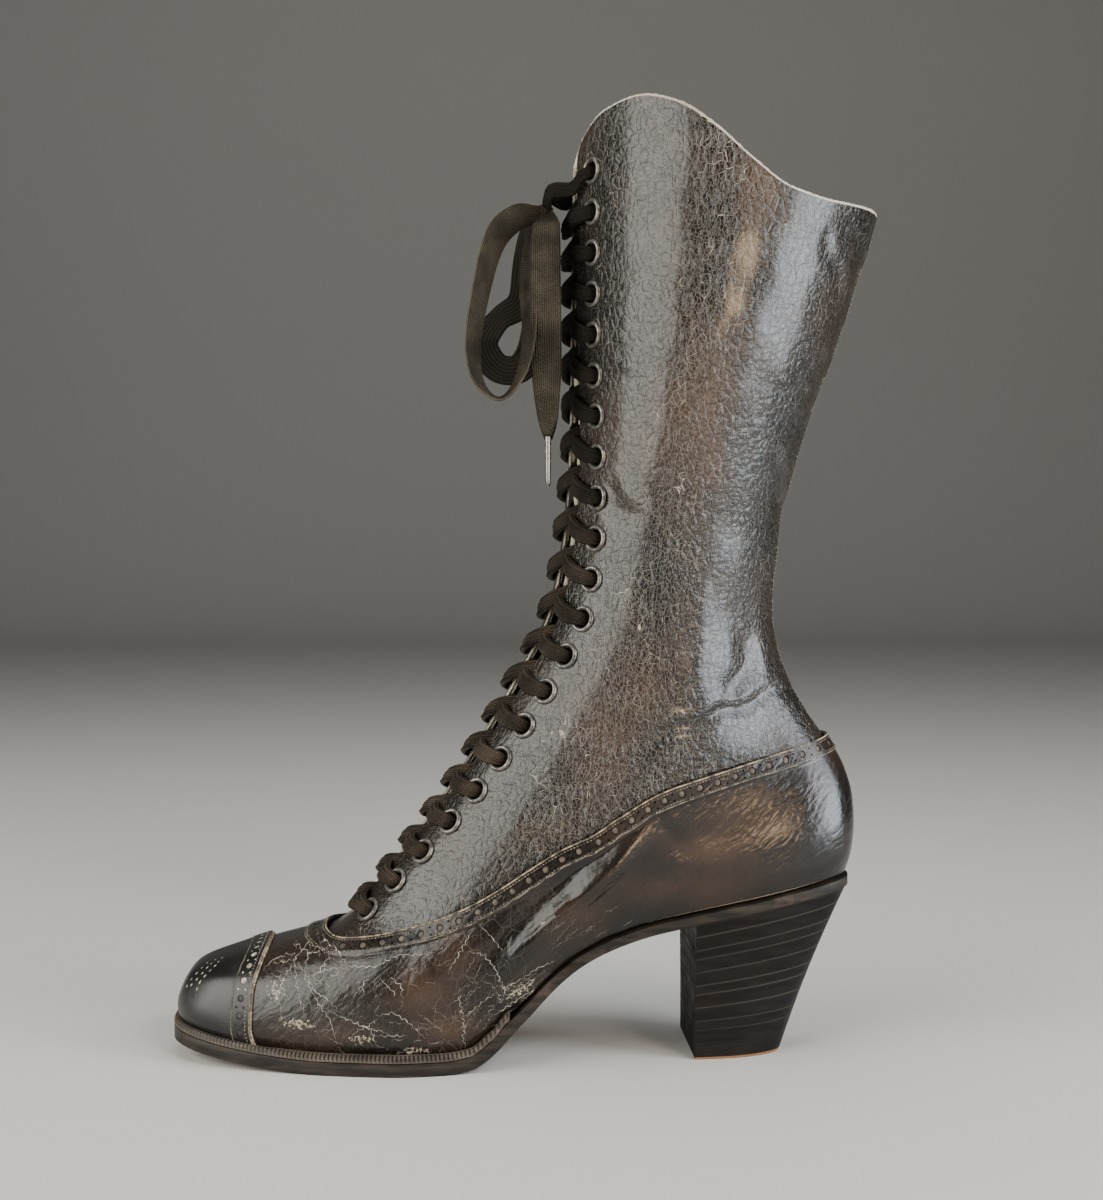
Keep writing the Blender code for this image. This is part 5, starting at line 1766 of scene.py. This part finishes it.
def flowing(route, pieces):
    """Points along a smooth curve through the route's own points, which turns evenly at each of them."""
    ends = [route[0] * 2 - route[1], *route, route[-1] * 2 - route[-2]]
    curve = []
    for k in range(pieces + 1):
        far = (len(route) - 1) * k / pieces
        i = min(int(far), len(route) - 2)
        s = far - i
        a, b, c, d = ends[i:i + 4]
        square = (a * 2 - b * 5 + c * 4 - d) * s * s
        cube = (b * 3 - a - c * 3 + d) * s ** 3
        curve.append(b + ((c - a) * s + square + cube) / 2)
    return curve


def along_route(values, share):
    """A value, or a row of values, at that share of the way along its list."""
    far = (len(values) - 1) * share
    if isinstance(values[0], tuple):
        return Vector([smooth([(k, row[axis]) for k, row in enumerate(values)], far) for axis in range(3)])
    return smooth(list(enumerate(values)), far)


def lace_mesh(name, runs, ribs, rib_depth):
    """A mesh of flat lace, with a run for each list of stations, and folds along it as deep as that share.

    A station is its middle, the way across the lace, its half width and its half thickness.
    """
    points, faces, across_marks, along_marks = [], [], [], []
    for stations in runs:
        first = len(points)
        travelled = edge_run([station[0] for station in stations])
        for k, (middle, across, half_wide, half_thick) in enumerate(stations):
            before = stations[max(0, k - 1)][0]
            after = stations[min(len(stations) - 1, k + 1)][0]
            along = (after - before).normalized()
            across = (across - along * across.dot(along)).normalized()
            normal = across.cross(along)
            for j in range(PROFILE_POINTS):
                turn = 2 * math.pi * j / PROFILE_POINTS
                wide = math.copysign(abs(math.cos(turn)) ** 0.75, math.cos(turn))
                thick = math.copysign(abs(math.sin(turn)) ** 0.55, math.sin(turn))
                rib = 1.0 + rib_depth * math.cos(math.pi * ribs * wide + 0.05 * k)
                points.append(middle + across * (half_wide * wide) + normal * (half_thick * thick * rib))
                across_marks.append(wide)
                along_marks.append(float(travelled[k]))
        for k in range(len(stations) - 1):
            ring = first + k * PROFILE_POINTS
            for j in range(PROFILE_POINTS):
                here, beside = ring + j, ring + (j + 1) % PROFILE_POINTS
                faces.append((here, beside, beside + PROFILE_POINTS, here + PROFILE_POINTS))
        last = first + (len(stations) - 1) * PROFILE_POINTS
        faces.append([first + j for j in reversed(range(PROFILE_POINTS))])
        faces.append([last + j for j in range(PROFILE_POINTS)])
    piece = new_piece(name, points, faces)
    piece.data.shade_smooth()
    mark(piece, "across", across_marks)
    mark(piece, "along", along_marks)
    return piece


WEAVE_PITCH = 0.62  # millimetres of lace for each row of its weave


def woven_lace(name, colour, faded, darker, threads):
    """Ribbed tube weave on the lace's own two directions, with fuzz and faded patches.

    Darker is the share of the fading that is left high on the boot, which the inner bow loop wears as
    painted shade, and threads counts the cords across half of it.
    """
    material, tree, shader, place = new_material(name)
    across = point_value(tree, "across")
    along = point_value(tree, "along")
    fade_patch = noise(tree, place, 90.0, 4.0)
    fuzz = noise(tree, place, 1400.0, 3.0)
    rib = maths(tree, "COSINE", times(tree, across, math.pi * threads))
    slant = plus(tree, times(tree, along, 2 * math.pi / WEAVE_PITCH), times(tree, across, 7.0))
    thread = plus(tree, times(tree, rib, 0.6), times(tree, maths(tree, "SINE", slant), 0.4))
    height_up = node(tree, "ShaderNodeSeparateXYZ", Vector=place).outputs["Z"]
    tone = spread(tree, plus(tree, times(tree, thread, 0.30), fade_patch), 0.25, 0.95, 0.0, 1.0)
    tone = times(tree, tone, spread(tree, height_up, 0.12, 0.24, 1.0, darker))
    height = plus(tree, thread, times(tree, fuzz, 0.8))
    feed(tree, shader, Base_Color=blend_colours(tree, tone, colour, faded), Roughness=0.88,
         Normal=relief_of(tree, height, 1.0, 0.00032), Specular_IOR_Level=0.15)
    return material


lace_cotton = woven_lace(
    "faded_lace_cotton", (0.008, 0.007, 0.0055, 1.0), (0.105, 0.080, 0.056, 1.0), darker=0.14, threads=8)
bow_cotton = woven_lace(
    "bow_cotton", (0.014, 0.012, 0.009, 1.0), (0.115, 0.098, 0.070, 1.0), darker=0.85, threads=14)
LACE_STEPS = 30


def lace_stations(route, across, half_widths, half_thicks):
    """Stations of the lace along the route, with those sizes from its start to its end."""
    return [
        (point, across, along_route(half_widths, k / LACE_STEPS), along_route(half_thicks, k / LACE_STEPS))
        for k, point in enumerate(flowing(route, LACE_STEPS))
    ]


def crossing(number, side):
    """The lace from one eyelet over the throat and under the other facing to the next eyelet up."""
    t, above = EYELET_LEVELS[number], EYELET_LEVELS[number + 1]
    rise = 0.0 if side > 0 else 1.3
    table = (  # share of the way up, offset, height, half width, half thickness
        (0.00, 13.4, -3.2, 2.1, 1.0),
        (0.00, 13.0, -0.6, 2.3, 1.2),
        (0.02, 11.6, 1.4, 2.7, 1.4),
        (0.08, 9.0, 2.1, 3.1, 1.35),
        (0.20, 5.6, 1.8 + 0.5 * rise, 3.1, 1.2),
        (0.38, 1.6, 0.8 + rise, 3.0, 1.0),
        (0.56, -2.4, -0.7 + 0.7 * rise, 2.9, 0.9),
        (0.74, -6.2, -2.9, 2.9, 0.7),
        (0.90, -10.4, -3.3, 2.5, 0.7),
        (1.00, -13.2, -3.5, 2.1, 0.9),
    )
    shares, offsets, heights, half_widths, half_thicks = zip(*table)
    route = [
        throat_point(mix(t, above, share), side * offset, height)
        for share, offset, height in zip(shares, offsets, heights)
    ]
    return lace_stations(route, facing_up((t + above) / 2, 0.0), half_widths, half_thicks)


def bottom_bar():
    """The straight bar between the two lowest eyelets, over the throat's foot."""
    t = EYELET_LEVELS[0]
    half = (  # offset, height, half width, half thickness, from an eyelet to the middle
        (13.2, -3.2, 1.9, 0.9),
        (12.6, 0.4, 1.9, 1.0),
        (9.5, 2.4, 2.4, 0.9),
        (4.0, 2.6, 3.0, 0.7),
        (0.0, 2.7, 3.2, 0.65),
    )
    other_half = tuple((-offset, *sizes) for offset, *sizes in reversed(half[:-1]))
    offsets, heights, half_widths, half_thicks = zip(*half, *other_half)
    route = [throat_point(t, offset, height) for offset, height in zip(offsets, heights)]
    return lace_stations(route, facing_up(t, 0.0), half_widths, half_thicks)


def last_pull(side):
    """The lace from a top eyelet down over the facing to the knot."""
    t = EYELET_LEVELS[-1]
    route = [
        throat_point(t, side * 13.2, -3.2),
        throat_point(t, side * 12.6, 0.3),
        throat_point(t, side * 10.6, 2.2),
        throat_point(t - 0.02, side * 6.4, 3.6),
        KNOT_CENTRE + Vector((3.4, -side * 5.5, 9.0)),
        KNOT_CENTRE + Vector((1.4, -side * 2.6, 3.0)),
        KNOT_CENTRE + Vector((0.4, -side * 0.5, -1.0)),
    ]
    half_widths = (2.0, 2.0, 2.2, 2.6, 2.8, 2.6, 2.2)
    return lace_stations(route, facing_up(t - 0.1, 0.0), half_widths, (0.8, 0.8))


lace_runs = [bottom_bar(), last_pull(1), last_pull(-1)]
for number in range(EYELETS_A_SIDE - 1):
    lace_runs += [crossing(number, 1), crossing(number, -1)]
lace = lace_mesh("lace_through_eyelets", lace_runs, 5, 0.30)
lace.data.materials.append(lace_cotton)
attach(lace, "root")
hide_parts("lace_crossings")


# The bow. The lace's two loops and two ends hang from one tight knot in front of the shaft; each end is
# pinched into a plain metal tag.
KNOT_RADII = Vector((4.4, 5.4, 5.0))
LOOP_ROUTE = (  # forward, sideways and up from the knot
    (-2.6, 5.6, 0.6),
    (-9.5, 9.0, -1.0),
    (-17.0, 13.0, -9.0),
    (-22.0, 16.0, -27.0),
    (-25.0, 18.0, -47.0),
    (-22.5, 18.5, -60.5),
    (-15.0, 17.0, -65.5),
    (-8.0, 15.0, -57.0),
    (-5.0, 13.0, -42.0),
    (-5.4, 10.5, -25.0),
    (-3.6, 8.0, -10.0),
    (-1.4, 6.6, -4.0),
)
FAR_LOOP_ROUTE = (  # the inner loop droops, with its end turned towards the toe
    (-2.6, 7.0, 0.6),
    (-5.0, 15.0, -5.0),
    (-5.0, 22.0, -17.0),
    (-7.0, 26.0, -27.5),
    (-14.5, 28.0, -33.0),
    (-20.5, 28.5, -42.0),
    (-15.5, 28.0, -51.0),
    (-7.0, 26.0, -51.5),
    (-2.5, 22.0, -43.0),
    (-2.0, 17.0, -28.0),
    (-2.4, 11.0, -12.0),
    (-1.4, 7.0, -4.0),
)
LOOP_ACROSS = (  # the way across the lace at each point of that route, and where it starts in the knot
    (0.1, 0.3, 1.0),
    (0.0, 0.3, 1.0),
    (-0.25, 0.35, 0.9),
    (-0.58, 0.65, 0.50),
    (-0.54, 0.82, 0.16),
    (-0.48, 0.87, 0.04),
    (-0.30, 0.95, -0.08),
    (0.0, 1.0, -0.10),
    (0.26, 0.96, 0.0),
    (0.40, 0.92, 0.0),
    (0.5, 0.85, 0.0),
    (0.7, 0.7, 0.0),
    (0.8, 0.6, 0.0),
)
FAR_LOOP_ACROSS = (  # the inner loop turns its face out lower down
    (0.1, 0.3, 1.0),
    (0.0, 0.3, 1.0),
    (-0.5, 0.8, 0.5),
    (-0.9, 0.4, 0.1),
    (-0.7, 0.3, 0.7),
    (-0.1, 0.45, 0.9),
    (-0.95, 0.2, 0.15),
    (-0.35, 0.15, -0.93),
    (0.3, 0.2, -0.93),
    (0.9, 0.4, -0.2),
    (0.7, 0.7, 0.0),
    (0.7, 0.7, 0.0),
    (0.8, 0.6, 0.0),
)
LOOP_HALF_WIDTH = (2.6, 3.4, 4.8, 5.5, 5.5, 5.5, 5.5, 5.5, 5.5, 5.5, 5.2, 4.2, 3.2)
END_ROUTE = (
    (1.4, 7.0, -2.0),
    (1.0, 11.0, -4.0),
    (0.6, 14.6, -12.0),
    (0.6, 16.4, -30.0),
    (0.8, 17.2, -50.0),
    (1.2, 17.4, -70.0),
    (1.4, 17.4, -78.5),
)
END_HALF_WIDTH = (3.0, 4.4, 5.0, 5.3, 5.5, 5.5, 3.9, 1.5)
FAR_END_BACK = 1.9  # the inner end hangs this much further back
LOOP_STEPS = 72
END_STEPS = 44
INSIDE_KNOT = (0.6, 3.4, 2.2)  # where each loop and end starts, under the knot's wraps
BOW_HALF_THICKNESS = 0.55 * LACE_THICKNESS
KNOT_WRAPS = ((0.0, 0.0), (0.9, 2.2), (-0.8, -2.0))  # where each wrap starts round the knot, and its lean
WRAP_STEPS = 40
WRAP_SHARE = 0.93  # of a whole turn
TAG_RINGS = (  # down from the tag's top, radius
    (0.0, 0.9),
    (0.0, 1.05),
    (0.5, 1.05),
    (3.0, 1.0),
    (8.0, 0.95),
    (16.0, 0.85),
    (16.8, 0.65),
    (17.0, 0.2),
)
TAG_SIDES = 20


def hung(route, side):
    """The route's points from inside the knot, on the outer side for -1 and the inner one for 1."""
    return [KNOT_CENTRE + Vector((x, side * y, z)) for x, y, z in (INSIDE_KNOT, *route)]


TAG_TONES = ((0.10, 0.097, 0.090, 1.0), (0.32, 0.31, 0.29, 1.0))
tag_metal = mottled("tag_metal_worn", 500.0, 3.0, TAG_TONES, (0.2, 0.4), Metallic=1.0)

knot_runs = []
for turn, lean in KNOT_WRAPS:
    wrap = []
    for k in range(WRAP_STEPS + 1):
        angle = 2 * math.pi * k / WRAP_STEPS * WRAP_SHARE + turn
        point = KNOT_CENTRE + Vector((KNOT_RADII.x * 0.62 * math.cos(angle),
                                      KNOT_RADII.y * 0.66 * math.sin(angle) + 0.3 * lean,
                                      lean * math.cos(angle) * 0.7))
        wrap.append((point, Vector((0.12 * math.cos(angle), 0.1 * lean, 1.0)), 3.4, 1.2))
    knot_runs.append(wrap)
knot = lace_mesh("bow_knot", knot_runs, 5, 0.25)
knot.data.materials.append(bow_cotton)
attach(knot, "root")
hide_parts("lace_knot")

# Painted shade: the inner loop, in shadow behind the knot, wears the lace cotton that is near black this high
# up.
for side, facing, loop_route, loop_across, loop_cloth_and_shade in (
    (-1, "outer", LOOP_ROUTE, LOOP_ACROSS, bow_cotton),
    (1, "inner", FAR_LOOP_ROUTE, FAR_LOOP_ACROSS, lace_cotton),
):
    loop_path = flowing(hung(loop_route, side), LOOP_STEPS)
    stations = []
    for k, point in enumerate(loop_path):
        across = along_route(loop_across, k / LOOP_STEPS)
        across.y *= side
        stations.append((point, across, along_route(LOOP_HALF_WIDTH, k / LOOP_STEPS), BOW_HALF_THICKNESS))
    loop = lace_mesh(f"bow_loop_{facing}", [stations], 3, 0.06)
    loop.data.materials.append(loop_cloth_and_shade)
    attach(loop, "root")
    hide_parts(f"lace_loop_{facing}")

    end_path = flowing(hung(END_ROUTE, side), END_STEPS)
    if side > 0:
        back = [FAR_END_BACK * float(fade(0, 20, k)) for k in range(END_STEPS + 1)]
        end_path = [point + Vector((away, 0.0, 0.0)) for point, away in zip(end_path, back)]
    stations = []
    for k, point in enumerate(end_path):
        wide = along_route(END_HALF_WIDTH, k / END_STEPS)
        thick = mix(BOW_HALF_THICKNESS, 1.0, float(fade(0.8, 1.0, k / END_STEPS)))
        stations.append((point, Vector((1.0, 0.15 * side, 0.0)), wide, thick))
    end = lace_mesh(f"bow_end_{facing}", [stations], 3, 0.06)
    end.data.materials.append(bow_cotton)
    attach(end, "root")
    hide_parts(f"lace_end_{facing}")

    tag_top = end_path[-1] + Vector((0.0, 0.0, -CLEARANCE))

    def place_tag(across, up):
        down, radius = TAG_RINGS[round(up * (len(TAG_RINGS) - 1))]
        angle = 2 * math.pi * across
        return tag_top + Vector((radius * math.cos(angle), radius * math.sin(angle), -down))

    tag = leather_grid(f"bow_tag_{facing}", TAG_SIDES, len(TAG_RINGS) - 1, place_tag)
    face_outwards(fill=True)
    bpy.ops.object.shade_smooth_by_angle(angle=math.radians(50))
    tag.data.materials.append(tag_metal)
    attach(tag, "root")
    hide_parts(f"lace_tag_{facing}")
